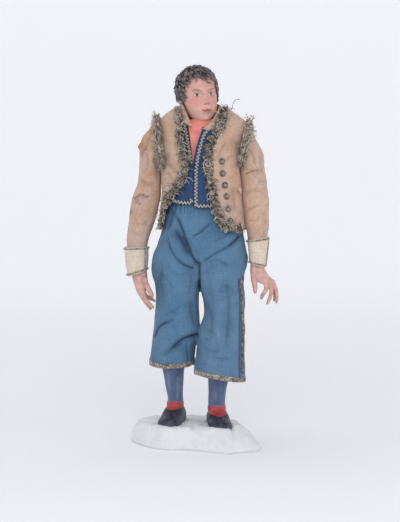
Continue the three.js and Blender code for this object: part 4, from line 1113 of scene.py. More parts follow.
def treeOf(*names):
    bm = bmesh.new()
    for name in names:
        bm.from_mesh(bpy.data.objects[name].data)
    tree = BVHTree.FromBMesh(bm)
    bm.free()
    return tree


# Where rays from starts along ways meet a cloth within a reach, or else the points given as misses
def laidOn(tree, starts, ways, misses, reach=24):
    points, normals = misses.copy(), -ways
    for k, (start, way) in enumerate(zip(starts, ways)):
        hit, normal, _, _ = tree.ray_cast(Vector(start * mm), Vector(way), reach * mm)
        if hit:
            points[k] = np.array(hit) / mm
            normals[k] = normal
    return points, unit(normals)


def evened(values, rounds=2, closed=False):
    for _ in range(rounds):
        before, after = np.roll(values, 1, axis=0), np.roll(values, -1, axis=0)
        if not closed:
            before[0], after[-1] = values[0], values[-1]
        values = 0.25 * before + 0.5 * values + 0.25 * after
    return values


# A line of [x, z] points laid on the front of a cloth: its points, the way it faces there, and sideways
def frontLine(tree, line, count, lift):
    line = evenLine(line, count)
    faces = outOfTrunk(line[:, 0], line[:, 1], lift)
    bare = onTrunk(line[:, 0], line[:, 1], lift)
    points, normals = laidOn(tree, bare + 10 * faces, -faces, bare)
    return framed(evened(points), evened(normals, 6), line[:, 2:])


def framed(points, out, rest=None, closed=False):
    along = np.roll(points, -1, axis=0) - np.roll(points, 1, axis=0)
    if not closed:
        along[0], along[-1] = points[1] - points[0], points[-1] - points[-2]
    along = unit(along)
    across = unit(np.cross(along, out))
    return {"at": points, "out": np.cross(across, along), "across": across, "along": along, "rest": rest,
            "length": np.linalg.norm(np.diff(points, axis=0), axis=1).sum()}


def alongLine(values, share):
    at = np.linspace(0, 1, len(values))
    return np.stack([np.interp(share, at, values[:, k]) for k in range(values.shape[1])], axis=1)


# A flat braid or strip that lies along a line, with rounded sides
def ribbonPiece(name, line, half, thick, sides=10, closed=False):
    count = len(line["at"])
    half = np.broadcast_to(half, (count,))

    def place(u, v):
        k = np.rint(v * (count - (0 if closed else 1))).astype(int) % count
        turn = u * 2 * math.pi
        wide = (half[k] * np.cos(turn))[:, None] * line["across"][k]
        return line["at"][k] + wide - (thick * np.sin(turn))[:, None] * line["out"][k]

    piece = gridPiece(name, sides, count if closed else count - 1, place, ring=True, loop=closed)
    return piece if closed else capped(piece)


# Threads that run along a line side by side or over each other: sway is how far each stands across and out
def strandsPiece(name, line, sways, radius, perMm, sides=5, closed=False):
    count = int(line["length"] * perMm)
    share = np.linspace(0, 1, count, endpoint=not closed)
    at, across, out = (alongLine(np.vstack([line[k], line[k][:1]]) if closed else line[k], share)
                       for k in ("at", "across", "out"))
    run = share * line["length"]
    strands = []
    for sway in sways:
        aside, above = sway(run)
        points = at + aside[:, None] * across + above[:, None] * out
        strands.append(threadPiece(name, points, radius, sides, closed))
    return merged(name, strands)


# A small mesh strewn over many places, each copy turned its own way. Returns the piece and its points in a copy.
def strewn(name, template, spots, first, second, sizes):
    block = getPoints(template)
    piece = copies(name, template, len(spots))
    x = unit(first)
    z = unit(np.cross(x, second))
    turns = np.stack([x, np.cross(z, x), z], axis=2)
    points = np.einsum("nij,nbj->nbi", turns, block[None] * sizes[:, None, :]) + spots[:, None, :]
    setPoints(piece, points.reshape(-1, 3))
    return piece, len(block)


# Loop fringe: gilt threads crimped into open loops, sewn in a dense row. Its inner side is matted, and loops
# stand out past both edges.

# ground is the tone of the strip under the loops, near black on the fronts as painted shade between the loops; tone is
# the loops' mean tone
fringes = {
    "right": {"line": [[-16.4, 337, 2.8], [-15, 322, 2.9], [-13.4, 302, 3.0], [-9.4, 288, 4.4], [-8.4, 278, 4.8],
                       [-13, 266, 4.8], [-18.6, 257, 5.2], [-24.6, 249, 5.6], [-29.4, 239, 5.2], [-31.4, 229, 4.8],
                       [-31.8, 219, 3.0]], "loops": 330, "ends": 90, "seed": 61, "ground": 0.02,
              "tone": 0.48},
    "left": {"line": [[30.4, 338, 4.0], [28.4, 326, 4.8], [21.8, 312, 4.8], [15, 297, 4.3], [13.8, 281, 4.1],
                      [16, 264, 3.8], [19.6, 247, 3.8], [23.2, 232, 4.2], [27.6, 222.5, 4.6], [37, 219, 4.4],
                      [47.4, 218, 4.0]], "loops": 400, "ends": 120, "seed": 62, "ground": 0.03,
             "tone": 0.48},
    "armRight": {"line": [[-31, -17, 277], [-33.6, -18, 291], [-35.4, -16.6, 305], [-36.6, -12, 318],
                          [-37.6, 1, 326], [-36.6, 15, 318], [-35.4, 19, 304], [-33.6, 20, 290], [-31, 19, 277]],
                 "half": [2.4, 3.0, 3.8, 4.4, 4.2, 4.2, 4.0, 3.6, 3.0], "loops": 400, "ends": 240, "seed": 63,
                 "ground": 0.25, "tone": 0.66},
    "armLeft": {"line": [[46, -16, 279], [48, -17, 292], [51, -16, 304], [54.4, -11.4, 315], [54, 1, 322],
                         [54, 14, 315], [51, 18, 303], [48, 19, 291], [46, 18, 279]],
                "half": [3.6, 4.2, 4.6, 4.8, 4.4, 4.2, 4.0, 3.8, 3.2], "loops": 400, "ends": 280, "seed": 64,
                "ground": 0.25, "tone": 0.68},
}


def loopRing():
    turn = np.linspace(0, 2 * math.pi, 10, endpoint=False)
    line = np.stack([1.1 * np.cos(turn), np.sin(turn), 0.12 * np.sin(2 * turn)], axis=1)
    return threadPiece("loop", line, 0.22, 4, closed=True)


def looseEnd():
    turn = np.linspace(-0.2, 2.4, 8)
    line = np.stack([1.6 * np.sin(turn) + 0.7 * turn, 1.1 * (1 - np.cos(turn)), 0.3 * turn], axis=1)
    return threadPiece("end", line, 0.19, 4)


# Loops stand all round the strip's line where round is set, and else on its outer side only
def makeFringe(name, node, line, half, pile, look, round=False):
    rng = np.random.default_rng(look["seed"])
    run = np.linspace(0, 1, len(line["at"]))
    half = np.asarray(half) * (1 + 0.08 * np.sin(run * line["length"] / 1.7 + 2 * np.sin(run * 19)))
    # The strip under the loops is matted thread; its dark tone is painted shade in the gaps between loops
    ground = ribbonPiece(name, line, half * 0.74, pile * (0.5 if round else 0.3), 14)
    p = getPoints(ground)
    pieces, shades = [ground], [np.clip(look["ground"] + 0.1 * waves(p, 2.4, look["seed"]), 0, 1)]
    for template, count, reach in ((loopRing(), look["loops"], 1.0), (looseEnd(), look["ends"], 1.12)):
        share = rng.uniform(0, 1, count)
        turn = rng.uniform(0, 2 * math.pi, count) if round else np.arccos(rng.uniform(-1, 1, count))
        high = rng.uniform(0.5, 1.0, count) ** 0.7 * reach
        wide = np.interp(share, run, half)
        at, out, across, along = (alongLine(line[k], share) for k in ("at", "out", "across", "along"))
        aside = np.cos(turn) * wide * high
        above = np.sin(turn) * pile * high
        spots = at + aside[:, None] * across + above[:, None] * out
        edge = np.abs(np.cos(turn))[:, None]
        # The loops lie open to the front, more so at the edges
        first = (np.sign(aside) + 0.2)[:, None] * across + 0.45 * out + rng.normal(0, 0.4, (count, 3))
        second = along + rng.normal(0, 0.3, (count, 3)) + (1 - edge) * rng.normal(0, 0.5, (count, 3))
        size = rng.uniform(1.2, 2.2, count) * (0.85 + 0.2 * edge[:, 0])
        sizes = np.stack([size, size * rng.uniform(0.6, 1, count), size], axis=1)
        piece, block = strewn(name, template, spots, first, second, sizes)
        pieces.append(piece)
        # Loops that stand higher are painted lighter: painted light
        shades.append(np.repeat(np.clip(rng.normal(look["tone"], 0.28, count) + 0.5 * (high - 0.85), 0.02, 1), block))
    fringe = merged(name, pieces)
    smoothShaded(fringe)
    painted(fringe, "shade", np.concatenate(shades))
    return handed(fringe, fringeGilt, "gilt_thread", node)


def makeFringes():
    jacketTree = treeOf("jacketSilk")
    for side in ("right", "left"):
        look = fringes[side]
        line = frontLine(jacketTree, look["line"], 130, jacket["lift"])
        line["at"] = line["at"] + 0.4 * line["out"]
        makeFringe("jacketFringe_" + side, "jacket_fringe_" + side, line, line["rest"][:, 0], 2.4, look)
    for side in ("right", "left"):
        look = fringes["armRight" if side == "right" else "armLeft"]
        points = evenLine(look["line"], 110)
        outwards = np.tile([-1.0 if side == "right" else 1.0, 0.0, 0.0], (len(points), 1))
        line = framed(points, unit(points - np.array([7.5, 1.0, 296.0])) * 0.4 + outwards)
        half = np.interp(np.linspace(0, 8, len(points)), np.arange(9), look["half"])
        makeFringe("armholeFringe_" + side, "armhole_fringe_" + side, line, half, 3.6, look, round=True)
    print("fringes made")


# Waistcoat braid: one silver thread in a wide zigzag, and a dark thread in a narrower zigzag under it

def zigzag(period, reach, lift):
    def sway(run):
        turn = run / period * 2 * math.pi
        return reach * np.arcsin(np.sin(turn) * 0.97) / 1.33, lift + 0.25 * np.cos(turn)
    return sway


def makeWaistcoatBraids():
    tree = treeOf("waistcoatSilk")
    for key, node in (("braidRight", "waistcoat_braid_right"), ("braidHemRight", "waistcoat_hem_braid_right"),
                      ("braidLeft", "waistcoat_braid_left")):
        line = frontLine(tree, waistcoat[key], 120, waistcoat["lift"])
        piece = strandsPiece(node.replace("waistcoat", "silver"), line,
                             [zigzag(3.4, 1.45, 0.5), zigzag(3.4, -0.7, 0.2)], 0.42, 3.2)
        smoothShaded(piece)
        count = len(piece.data.vertices)
        painted(piece, "shade", np.where(np.arange(count) < count / 2, 0.55 if key == "braidRight" else 0.8, 0.12))
        handed(piece, silverGilt, "gilt_thread", node)


# Hem and side braids: flat plaits of five gilt strands

def plait(phase, period, reach, lift):
    def sway(run):
        turn = run / period * 2 * math.pi + phase
        return reach * np.sin(turn), lift + 0.4 * np.sin(2 * turn)
    return sway


def plaitPiece(name, node, line, reach, closed, tone):
    sways = [plait(k * 2 * math.pi / 5, 5.6, reach, 0.8) for k in range(5)]
    piece = strandsPiece(name, line, sways, 0.5, 2.0, 5, closed)
    smoothShaded(piece)
    p = getPoints(piece)
    painted(piece, "shade", np.clip(tone + 0.34 * waves(p, 2.2, 71) + 0.14 * waves(p, 9, 72), 0, 1))
    return handed(piece, braidGilt, "gilt_thread", node)


def makeBreechesBraids():
    tree = treeOf("breechesCloth")
    for side in ("right", "left"):
        at, up = hemPlane(side)
        middle = np.array(at) + np.array(up) * 2.6
        turn = np.linspace(0, 2 * math.pi, 200, endpoint=False)
        along = unit(np.cross(np.array(up), [0, 1, 0]))
        way = np.cos(turn)[:, None] * along + np.sin(turn)[:, None] * np.cross(np.array(up), along)
        # From the middle outwards to the inner face, and through the cloth
        points, normals = laidOn(tree, middle + 8 * way, way, middle + 22 * way, 34)
        line = framed(evened(points + 1.0 * way, 3, True), evened(-normals, 6, True), closed=True)
        plaitPiece("hemPlait_" + side, "hem_braid_" + side, line, 2.0, True, 0.5)
    # Down the figure's left leg, towards its front
    height = np.linspace(168, 74, 120)
    turn = math.radians(-38)
    away = np.tile([math.cos(turn), math.sin(turn), 0.0], (len(height), 1))
    ways = -away
    starts = np.stack([0 * height + 28, 0 * height - 3.5, height], axis=1) + 60 * away
    points, normals = laidOn(tree, starts, ways, starts + 36 * ways, 60)
    line = framed(evened(points, 3), evened(normals, 6))
    plaitPiece("sidePlait_left", "side_braid_left", line, 1.6, False, 0.34)


# Cuff braids: twisted cord round both edges and down the slit

def twist(phase, pitch, reach, lift):
    def sway(run):
        turn = run / pitch * 2 * math.pi + phase
        return reach * np.cos(turn), lift + reach * np.sin(turn)
    return sway


def makeCuffBraid(side):
    look, wall = cuffs[side], cuffs["wall"][side]
    cords = []
    for t, lift in ((cuffs["edges"][0], 0.5), (cuffs["edges"][1], 0.5)):
        turn = np.linspace(0, 2 * math.pi, 120, endpoint=False)
        at, far = (skinAt(look["sections"], np.full(120, t), turn, wall + k) for k in (0, 1))
        line = framed(at, unit(far - at), closed=True)
        strands = [twist(k * math.pi, 2.4, 0.45, lift) for k in (0, 1)]
        cords.append(strandsPiece("cord", line, strands, 0.5, 2.4, 5, True))
    t = np.linspace(*cuffs["edges"], 30)
    turn = np.full(30, math.radians(look["slit"]))
    at, far = (skinAt(look["sections"], t, turn, wall + k) for k in (0, 1))
    cords.append(strandsPiece("cord", framed(at, unit(far - at)), [twist(k * math.pi, 2.4, 0.45, 0.5) for k in (0, 1)],
                              0.5, 2.4))
    piece = merged("cuffCord_" + side, cords)
    smoothShaded(piece)
    painted(piece, "shade", 0.55 + 0.2 * waves(getPoints(piece), 4, 81))
    handed(piece, braidGilt, "gilt_thread", "cuff_braid_" + side)


# Buttons: thread wound over a domed mould, with a thick rim

button = {
    "places": [[27, 285], [27.6, 273], [30, 261.5], [31.4, 250.5], [33.4, 238], [35.4, 226.5]],
    "profile": [[0, 2.5], [0.7, 2.45], [1.4, 2.15], [1.9, 1.55], [2.15, 0.75], [2.4, 0.8], [2.9, 1.25], [3.3, 0.9],
                [3.45, 0.2], [3.2, -0.5], [0, -0.5]],
}


def makeButtons():
    tree = treeOf("jacketSilk")
    profile = evenLine(button["profile"], 26)
    pieces, shades = [], []
    for x, z in button["places"]:
        spot = np.array([[x, z]] * 2) + [[0, 0.2], [0, -0.2]]
        line = frontLine(tree, np.hstack([spot, [[0], [0]]]), 3, jacket["lift"])
        at, out, across, along = (line[k][1] for k in ("at", "out", "across", "along"))

        def place(u, v):
            r, h = splineAt(profile, v).T
            turn = u * 2 * math.pi
            wound = h + 0.12 * np.cos(turn * 16 + r * 2.2) * soft(r, 0.4, 1.2) * soft(-v, -0.75, -0.6)
            return (at + np.outer(r * np.cos(turn), across) - np.outer(r * np.sin(turn), along)
                    + np.outer(wound, out))
        piece = gridPiece("button", 36, 25, place, ring=True)
        piece = capped(piece)
        p = getPoints(piece)
        off = p - at
        far = np.linalg.norm(off - np.outer(off @ out, out), axis=1)
        # The groove round the dome is painted darkest: painted shade in the recess
        shades.append(np.where(far < 1.9, 0.36, np.where(far < 2.5, 0.12, 0.3)))
        pieces.append(piece)
    buttons = merged("threadButtons", pieces)
    smoothShaded(buttons)
    painted(buttons, "shade", np.concatenate(shades))
    handed(buttons, fringeGilt, "gilt_thread", *["jacket_button_%d" % k for k in range(1, 7)])


# A knot of thread, a loose loop and a stray wire
def makeLooseThreads():
    lines = [
        [[43, -19.6, 257], [43.6, -21.4, 258.6], [45.6, -20.6, 258.4], [46.4, -19.6, 256.4], [44.8, -19.6, 255.4],
         [43.4, -20.6, 256.8], [44.6, -21.4, 257.6], [45.4, -20, 255.2], [46, -19.4, 253]],
        [[13.6, -33, 286.4], [11.2, -34.6, 287], [9.2, -34.6, 282.8], [10, -34, 277], [13, -33.4, 276.2]],
        [[36, 1, 335], [37.6, -1, 338.4], [38.8, -2, 343], [41.4, -2.6, 345.6], [45.2, -2.4, 346]],
    ]
    threads = [threadPiece("thread", evenLine(line, 34), 0.34, 6) for line in lines]
    piece = merged("looseThreads", threads)
    smoothShaded(piece)
    painted(piece, "shade", np.repeat([0.95, 0.7, 0.25], len(piece.data.vertices) // 3))
    handed(piece, fringeGilt, "gilt_thread")


makeFringes()
makeWaistcoatBraids()
makeBreechesBraids()
for side in ("right", "left"):
    makeCuffBraid(side)
makeButtons()
makeLooseThreads()
print("trims made")


# Head: fired clay, painted, with the hair in separate short curls

head = {
    "at": (3.9, 1, 349), "yaw": 20, "roll": 5,
    "masses": [[0, 4, 8, 18.4, 21.5, 20.5], [0, -4, -5, 16.5, 17, 19.5], [0, -8, -15, 13.5, 12.5, 11.8]],
    "ear": {"at": (19, 2.5, 0), "half": (2.4, 4.2, 6.6)},
    "neck": [[5, 3, 346, 13, 14], [5.2, 3, 334, 13, 13.6], [5.4, 2.5, 325, 12.4, 12.4], [5.6, 2.5, 317, 12, 12]],
    "voxel": 0.46,
    # What rises from the face or sinks into it: [x, z, half width, half height, lift], mirrored
    "features": [[7.5, 7.6, 6, 2.2, 1.2], [7.4, 1.6, 5.2, 3.2, -2.4], [0, 3, 2.2, 5.6, 2.8], [0, -4.8, 2.7, 3.2, 4.2],
                 [3.1, -6.8, 1.7, 1.8, 1.7], [0, -11, 1.0, 1.5, -0.5], [0, -14, 5.4, 3.2, 1.6],
                 [0, -18.4, 4.6, 1.5, -1.0], [0, -23, 5.4, 3.8, 3.2], [11.2, -4, 5, 4.4, 0.9],
                 [6.6, -9, 1.3, 4, -0.4]],
    "eye": {"x": 7.2, "z": 1.5, "half": 3.5, "high": 1.25, "iris": 1.2},
    "mouth": {"z": -13.7, "half": 5.1, "upper": 1.35, "lower": 1.6},
    "hair": {"brow": 17.5, "burn": -3, "nape": -13, "lift": 1.3, "locks": 900, "seed": 91},
    "skin": "#dba699", "cheek": "#d07b75", "lip": "#b8625c", "shade": "#95665a", "beard": "#b99e92",
    "white": "#d6cabc", "irisColour": "#3a2a22", "line": "#43302a", "brow": "#5d4a42",
    "hairDark": "#3b3335", "hairMiddle": "#665c5f", "hairLight": "#948a84",
}


# How far points lie from the head's blended masses
def fromMasses(p, blend=5.0):
    far = None
    for x, y, z, rx, ry, rz in head["masses"]:
        q = (p - [x, y, z]) / [rx, ry, rz]
        size = np.linalg.norm(q, axis=1)
        d = size * (size - 1) / np.maximum(np.linalg.norm(q / [rx, ry, rz], axis=1), 1e-6)
        if far is None:
            far = d
        else:
            h = np.clip(0.5 + (far - d) / (2 * blend), 0, 1)
            far = far + (d - far) * h - blend * h * (1 - h)
    return far


# The skull's surface in given directions from its middle
def onSkull(ways):
    low, high = np.full(len(ways), 8.0), np.full(len(ways), 45.0)
    for _ in range(22):
        middle = (low + high) / 2
        inside = fromMasses(ways * middle[:, None]) < 0
        low, high = np.where(inside, middle, low), np.where(inside, high, middle)
    return ways * low[:, None]


def ballWays(u, v):
    turn, fall = u * 2 * math.pi, v * math.pi
    return np.stack([np.sin(fall) * np.cos(turn), np.sin(fall) * np.sin(turn), np.cos(fall)], axis=1)


def headPlaced(p, back=False):
    roll, yaw = math.radians(-head["roll"]), math.radians(head["yaw"])
    aroundY = np.array([[math.cos(roll), 0, math.sin(roll)], [0, 1, 0], [-math.sin(roll), 0, math.cos(roll)]])
    aroundZ = np.array([[math.cos(yaw), -math.sin(yaw), 0], [math.sin(yaw), math.cos(yaw), 0], [0, 0, 1]])
    turn = aroundZ @ aroundY
    return (p - head["at"]) @ turn if back else p @ turn.T + head["at"]


# How much a point of the head is hair: over the crown, down to the nape and in front of the ears
def hairAt(p, ragged=0.0):
    look = head["hair"]
    side = look["brow"] + (look["burn"] - look["brow"]) * soft(p[:, 1], -11, -5)
    line = side + (look["nape"] - side) * soft(p[:, 1], 3, 12) + ragged
    return soft(p[:, 2], line - 1, line + 1)


def faceAt(p):
    total = np.zeros(len(p))
    for x, z, wide, high, lift in head["features"]:
        for side in ([1] if x == 0 else [1, -1]):
            total += lift * np.exp(-((p[:, 0] - side * x) / wide) ** 2 - ((p[:, 2] - z) / high) ** 2)
    return total


# Where a point lies in an almond eye: across, up, and how near it is to the opening's edge
def inEye(p):
    eye = head["eye"]
    across = (np.abs(p[:, 0]) - eye["x"]) / eye["half"]
    up = (p[:, 2] - eye["z"] - 0.25 * across) / eye["high"]
    return across, up, up / np.maximum(1 - across ** 2, 0.02) ** 0.6


def makeHead():
    look = head
    skull = capped(gridPiece("skull", 120, 80, lambda u, v: onSkull(ballWays(u, v)), ring=True))
    ears = []
    for side in (1, -1):
        x, y, z = look["ear"]["at"]

        def ear(u, v):
            ways = ballWays(u, v)
            place = ways * look["ear"]["half"]
            # A hollow shell with a rim
            bowl = np.exp(-((ways[:, 1] + 0.15) ** 2 + (ways[:, 2] - 0.15) ** 2) / 0.28)
            place[:, 0] -= 2.0 * bowl * (ways[:, 0] > 0)
            lean = place[:, 0] * 0.5
            return np.stack([side * (x + place[:, 0]), y + place[:, 1] + lean, z + place[:, 2]], axis=1)
        ears.append(capped(gridPiece("ear", 30, 24, ear, ring=True)))
    neck = loftPiece("neck", look["neck"], 60, 30, power=2.0)
    setPoints(neck, headPlaced(getPoints(neck), back=True))
    piece = remeshed(merged("paintedHead", [skull, *ears, neck]), look["voxel"], 3)

    p, n = getPoints(piece), getNormals(piece)
    facing = soft(-p[:, 1], 2, 10) * soft(-n[:, 1], -0.1, 0.4) * soft(p[:, 2], -29, -25)
    p[:, 1] -= facing * faceAt(p)
    across, up, rim = inEye(p)
    near = facing * (np.abs(across) < 1.25)
    ball = near * bump(rim, 1.05, 6) * (np.abs(across) < 1)
    lids = 0.5 * bump(rim - 1.5, 0.5) + 0.28 * bump(rim + 1.45, 0.45) - 0.35 * bump(rim - 2.7, 0.45)
    p[:, 1] -= near * soft(1.15 - np.abs(across), 0, 0.2) * lids - 0.35 * ball
    p[:, 1] -= ball * 0.75 * np.clip(1 - 0.5 * across ** 2 - 0.2 * up ** 2, 0, 1)
    mouth = look["mouth"]
    along = p[:, 0] / mouth["half"]
    level = mouth["z"] + 0.35 * np.cos(p[:, 0] * 1.3) - 0.45 + 0.5 * along ** 2
    over = p[:, 2] - level
    lips = facing * soft(1.1 - np.abs(along), 0, 0.5)
    p[:, 1] -= lips * (0.95 * bump(over - 0.95, 0.75) + 1.15 * bump(over + 1.15, 0.85) - 0.9 * bump(over, 0.32))
    nostril = np.hypot((np.abs(p[:, 0]) - 1.7) / 0.8, (p[:, 2] + 8.0) / 0.7)
    p[:, 1] += facing * 1.4 * bump(nostril, 1.0)
    hair = hairAt(p) * soft(p[:, 2], -16, -11)
    lift = hair * (look["hair"]["lift"] + 0.35 * waves(p, 5, 92))
    p += n * lift[:, None]
    setPoints(piece, p)
    edited(piece, lambda bm: bmesh.ops.smooth_vert(
        bm, verts=bm.verts, factor=0.35, use_axis_x=True, use_axis_y=True, use_axis_z=True))

    paintHead(piece, p, facing, hair)
    setPoints(piece, headPlaced(getPoints(piece)))
    smoothShaded(piece)
    return handed(piece, headPaint, "painted_head", "head")


def mixed(colour, other, share):
    return colour + (np.asarray(other) - colour) * np.clip(share, 0, 1)[:, None]


def paintHead(piece, p, facing, hair):
    look = head
    colour = np.tile(rgb(look["skin"]), (len(p), 1))
    beside = np.abs(p[:, 0])
    colour = mixed(colour, rgb(look["shade"]), 0.25 * soft(-p[:, 2], 24, 34))
    flush = 0.55 * bump(np.hypot((beside - 10) / 5.6, (p[:, 2] + 5) / 5), 1) * facing
    colour = mixed(colour, rgb(look["cheek"]), flush)
    colour = mixed(colour, rgb(look["cheek"]), 0.4 * bump(np.hypot(p[:, 0] / 2.6, (p[:, 2] + 5.5) / 2.6), 1) * facing)
    jaw = soft(-p[:, 2], 11, 17) * soft(-p[:, 1], -2, 6) * soft(p[:, 2], -29, -24)
    colour = mixed(colour, rgb(look["beard"]), jaw * (0.45 + 0.1 * waves(p, 1.4, 93)))
    across, up, rim = inEye(p)
    socket = bump(np.hypot(across / 1.5, (p[:, 2] - 1.8) / 3.4), 1) * facing
    colour = mixed(colour, rgb(look["shade"]), 0.32 * socket)
    open_ = facing * (np.abs(across) < 1) * (np.abs(rim) < 1)
    colour = mixed(colour, rgb(look["white"]), open_)
    eye = look["eye"]
    iris = np.hypot(beside - eye["x"] - 0.1, p[:, 2] - eye["z"] - 0.15)
    colour = mixed(colour, rgb(look["irisColour"]), open_ * soft(eye["iris"] + 0.2 - iris, 0, 0.3))
    colour = mixed(colour, rgb(look["line"]), 0.9 * facing * (np.abs(across) < 1.08) * bump(rim - 1.15, 0.34))
    colour = mixed(colour, rgb(look["line"]), 0.35 * facing * (np.abs(across) < 1.05) * bump(rim + 1.15, 0.3))
    colour = mixed(colour, rgb(look["shade"]), 0.5 * facing * (np.abs(across) < 1.1) * bump(rim - 2.6, 0.4))
    browLine = 6.7 - 0.06 * (beside - 8) ** 2 + 0.12 * (beside - 8)
    brow = bump(p[:, 2] - browLine, 0.75) * soft(beside, 2.6, 4.4) * soft(-beside, -13, -10.5)
    colour = mixed(colour, rgb(look["brow"]), 0.85 * brow * facing * (0.8 + 0.25 * waves(p, 1.0, 94)))
    mouth = look["mouth"]
    along = p[:, 0] / mouth["half"]
    level = mouth["z"] + 0.35 * np.cos(p[:, 0] * 1.3) - 0.45 + 0.5 * along ** 2
    over = p[:, 2] - level
    full = np.sqrt(np.clip(1 - along ** 2, 0, 1))
    lips = soft(mouth["upper"] * full + 0.2 - over, 0, 0.4) * soft(mouth["lower"] * full + 0.2 + over, 0, 0.4)
    colour = mixed(colour, rgb(look["lip"]), 0.85 * lips * facing * (np.abs(along) < 1))
    colour = mixed(colour, rgb(look["line"]), 0.75 * bump(over, 0.28) * facing * (np.abs(along) < 0.97))
    nostril = np.hypot((beside - 1.7) / 0.8, (p[:, 2] + 8.0) / 0.6)
    colour = mixed(colour, rgb(look["line"]), 0.8 * bump(nostril, 1.0) * facing)
    colour = mixed(colour, rgb(look["hairDark"]), hair)
    painted(piece, "paint", colour)


# Locks: short curls that lie over the hair's ground, tip over root, from the crown outwards
def makeHair():
    look = head["hair"]
    rng = np.random.default_rng(look["seed"])
    ways = unit(rng.normal(size=(look["locks"] * 6, 3)))
    roots = onSkull(ways)
    ragged = rng.normal(0, 1.6, len(roots))
    keep = (hairAt(roots, ragged) > 0.5) & (roots[:, 2] > -13)
    keep &= ~((np.abs(roots[:, 0]) > 15.5) & (np.abs(roots[:, 1] - 3) < 3.6) & (roots[:, 2] < 5) & (roots[:, 0] > 0))
    roots, ways = roots[keep][:look["locks"]], ways[keep][:look["locks"]]
    count = len(roots)
    out = unit(roots - [0, 2, 4])
    crown = unit(np.array([0.0, 10.0, 27.0]) - roots)
    # Combed down from the crown, and forward at the sides
    flow = -(crown - (crown * out).sum(1, keepdims=True) * out) + [0, -0.35, 0]
    flow = unit(flow) + 0.3 * rng.normal(size=(count, 3))
    flow = unit(flow - (flow * out).sum(1, keepdims=True) * out)

    def lock(u, v):
        bend = v * 1.1
        middle = np.stack([5.2 * np.sin(bend) * 0.9, 2.2 * (1 - np.cos(bend)), 0.75 * np.sin(v * math.pi * 0.85) - 0.1],
                          axis=1)
        turn = u * 2 * math.pi
        half = 0.72 * np.sqrt(np.clip(1 - ((v - 0.35) / 0.67) ** 2, 0.03, 1))
        groove = 1 + 0.18 * np.cos(3 * turn)
        across = np.stack([-np.sin(bend), np.cos(bend), 0 * bend], axis=1)
        return (middle + (half * groove * np.cos(turn))[:, None] * across
                + np.outer(-0.62 * half * groove * np.sin(turn), [0, 0, 1]))

    template = capped(gridPiece("lock", 6, 6, lock, ring=True))
    shape = getPoints(template)
    # Each curl is painted lighter towards its tip and crest: painted highlight
    painted_crest_light = 0.2 + 0.08 * np.clip(shape[:, 0], 0, 4) + 0.22 * np.clip(shape[:, 2], 0, 1.4)
    size = rng.uniform(0.85, 1.35, count)
    sizes = np.stack([size, size * rng.uniform(0.8, 1.2, count), size * rng.uniform(0.9, 1.5, count)], axis=1)
    spots = roots + out * (0.75 + rng.uniform(0, 0.5, count))[:, None]
    piece, block = strewn("curls", template, spots, flow, np.cross(out, flow), sizes)
    tone = np.clip(np.repeat(rng.normal(0.0, 0.16, count), block) + np.tile(painted_crest_light, count), 0, 1)
    colour = np.tile(rgb(head["hairDark"]), (len(tone), 1))
    colour = mixed(colour, rgb(head["hairMiddle"]), tone * 2)
    colour = mixed(colour, rgb(head["hairLight"]), tone * 2 - 1)
    painted(piece, "paint", colour)
    setPoints(piece, headPlaced(getPoints(piece)))
    smoothShaded(piece)
    return handed(piece, headPaint, "painted_head", "head")


# Hands: carved and painted

hands = {
    "right": {
        "palm": [[-57, -3, 189.4, 6, 5.4, 8], [-55, -4.2, 172.4, 7.8, 5.2, 18], [-53.6, -4.6, 164.8, 7.2, 5, 18],
                 [-53, -5.2, 157, 5.2, 4.8, 22], [-51, -5.6, 149, 3, 3, 28]],
        "fingers": [
            [[-53.4, -6, 156, 2.7], [-51.4, -7, 148.6, 2.5], [-47.2, -7.6, 142.6, 2.3], [-43, -7.8, 136.4, 1.8]],
            [[-51.4, -8, 155, 2.6], [-48.4, -10, 147, 2.4], [-44.4, -10.6, 142.6, 2.2], [-40.4, -10.2, 138.4, 1.7]],
            [[-51, -4, 153, 2.4], [-46.4, -4.4, 149, 2.2], [-42.2, -4.6, 147, 2], [-38.8, -4, 144.4, 1.6]],
            [[-52.6, -2, 155, 2.3], [-49.8, 0, 147, 2.1], [-46, 0.6, 142, 1.9], [-43.4, 0.4, 138, 1.5]],
            [[-51, -7, 169, 3.6], [-47.6, -9.6, 161, 3.3], [-44.2, -10.8, 155, 2.9], [-41.6, -11, 149.4, 2.2]],
        ],
    },
    "left": {
        "palm": [[62.2, -14.4, 195.4, 5.8, 5.2, 0], [62, -15.4, 182, 6.6, 5, 4], [63.6, -16, 174, 7.4, 5, 22],
                 [68.8, -17, 168.6, 6, 4.6, 42], [76.4, -18, 164, 3.6, 3.4, 54]],
        "fingers": [
            [[71, -18.4, 165, 2.8], [70.8, -20, 158.4, 2.5], [67.8, -18.6, 153, 2.3], [66, -16, 147.8, 1.8]],
            [[74, -18.6, 166, 2.8], [76.2, -20.4, 157, 2.5], [74.8, -19, 150, 2.3], [71.8, -16.4, 142.6, 1.8]],
            [[76.6, -17.8, 167, 2.7], [80, -18.6, 160, 2.4], [81.6, -17, 152.6, 2.2], [81.4, -15, 143.2, 1.7]],
            [[76, -15.6, 166, 2.3], [79, -13.4, 158, 2.1], [80, -11.6, 151, 1.9], [79, -10, 145, 1.5]],
            [[58.6, -15.4, 179, 3.6], [58.8, -17, 169, 3.4], [60, -18.4, 161, 2.9], [60.2, -18, 153.8, 2.3]],
        ],
    },
    "skin": "#d9ada0", "deep": "#6f4a42", "joint": "#c4897d", "nail": "#a98078", "voxel": 0.43, "slim": 0.86,
}


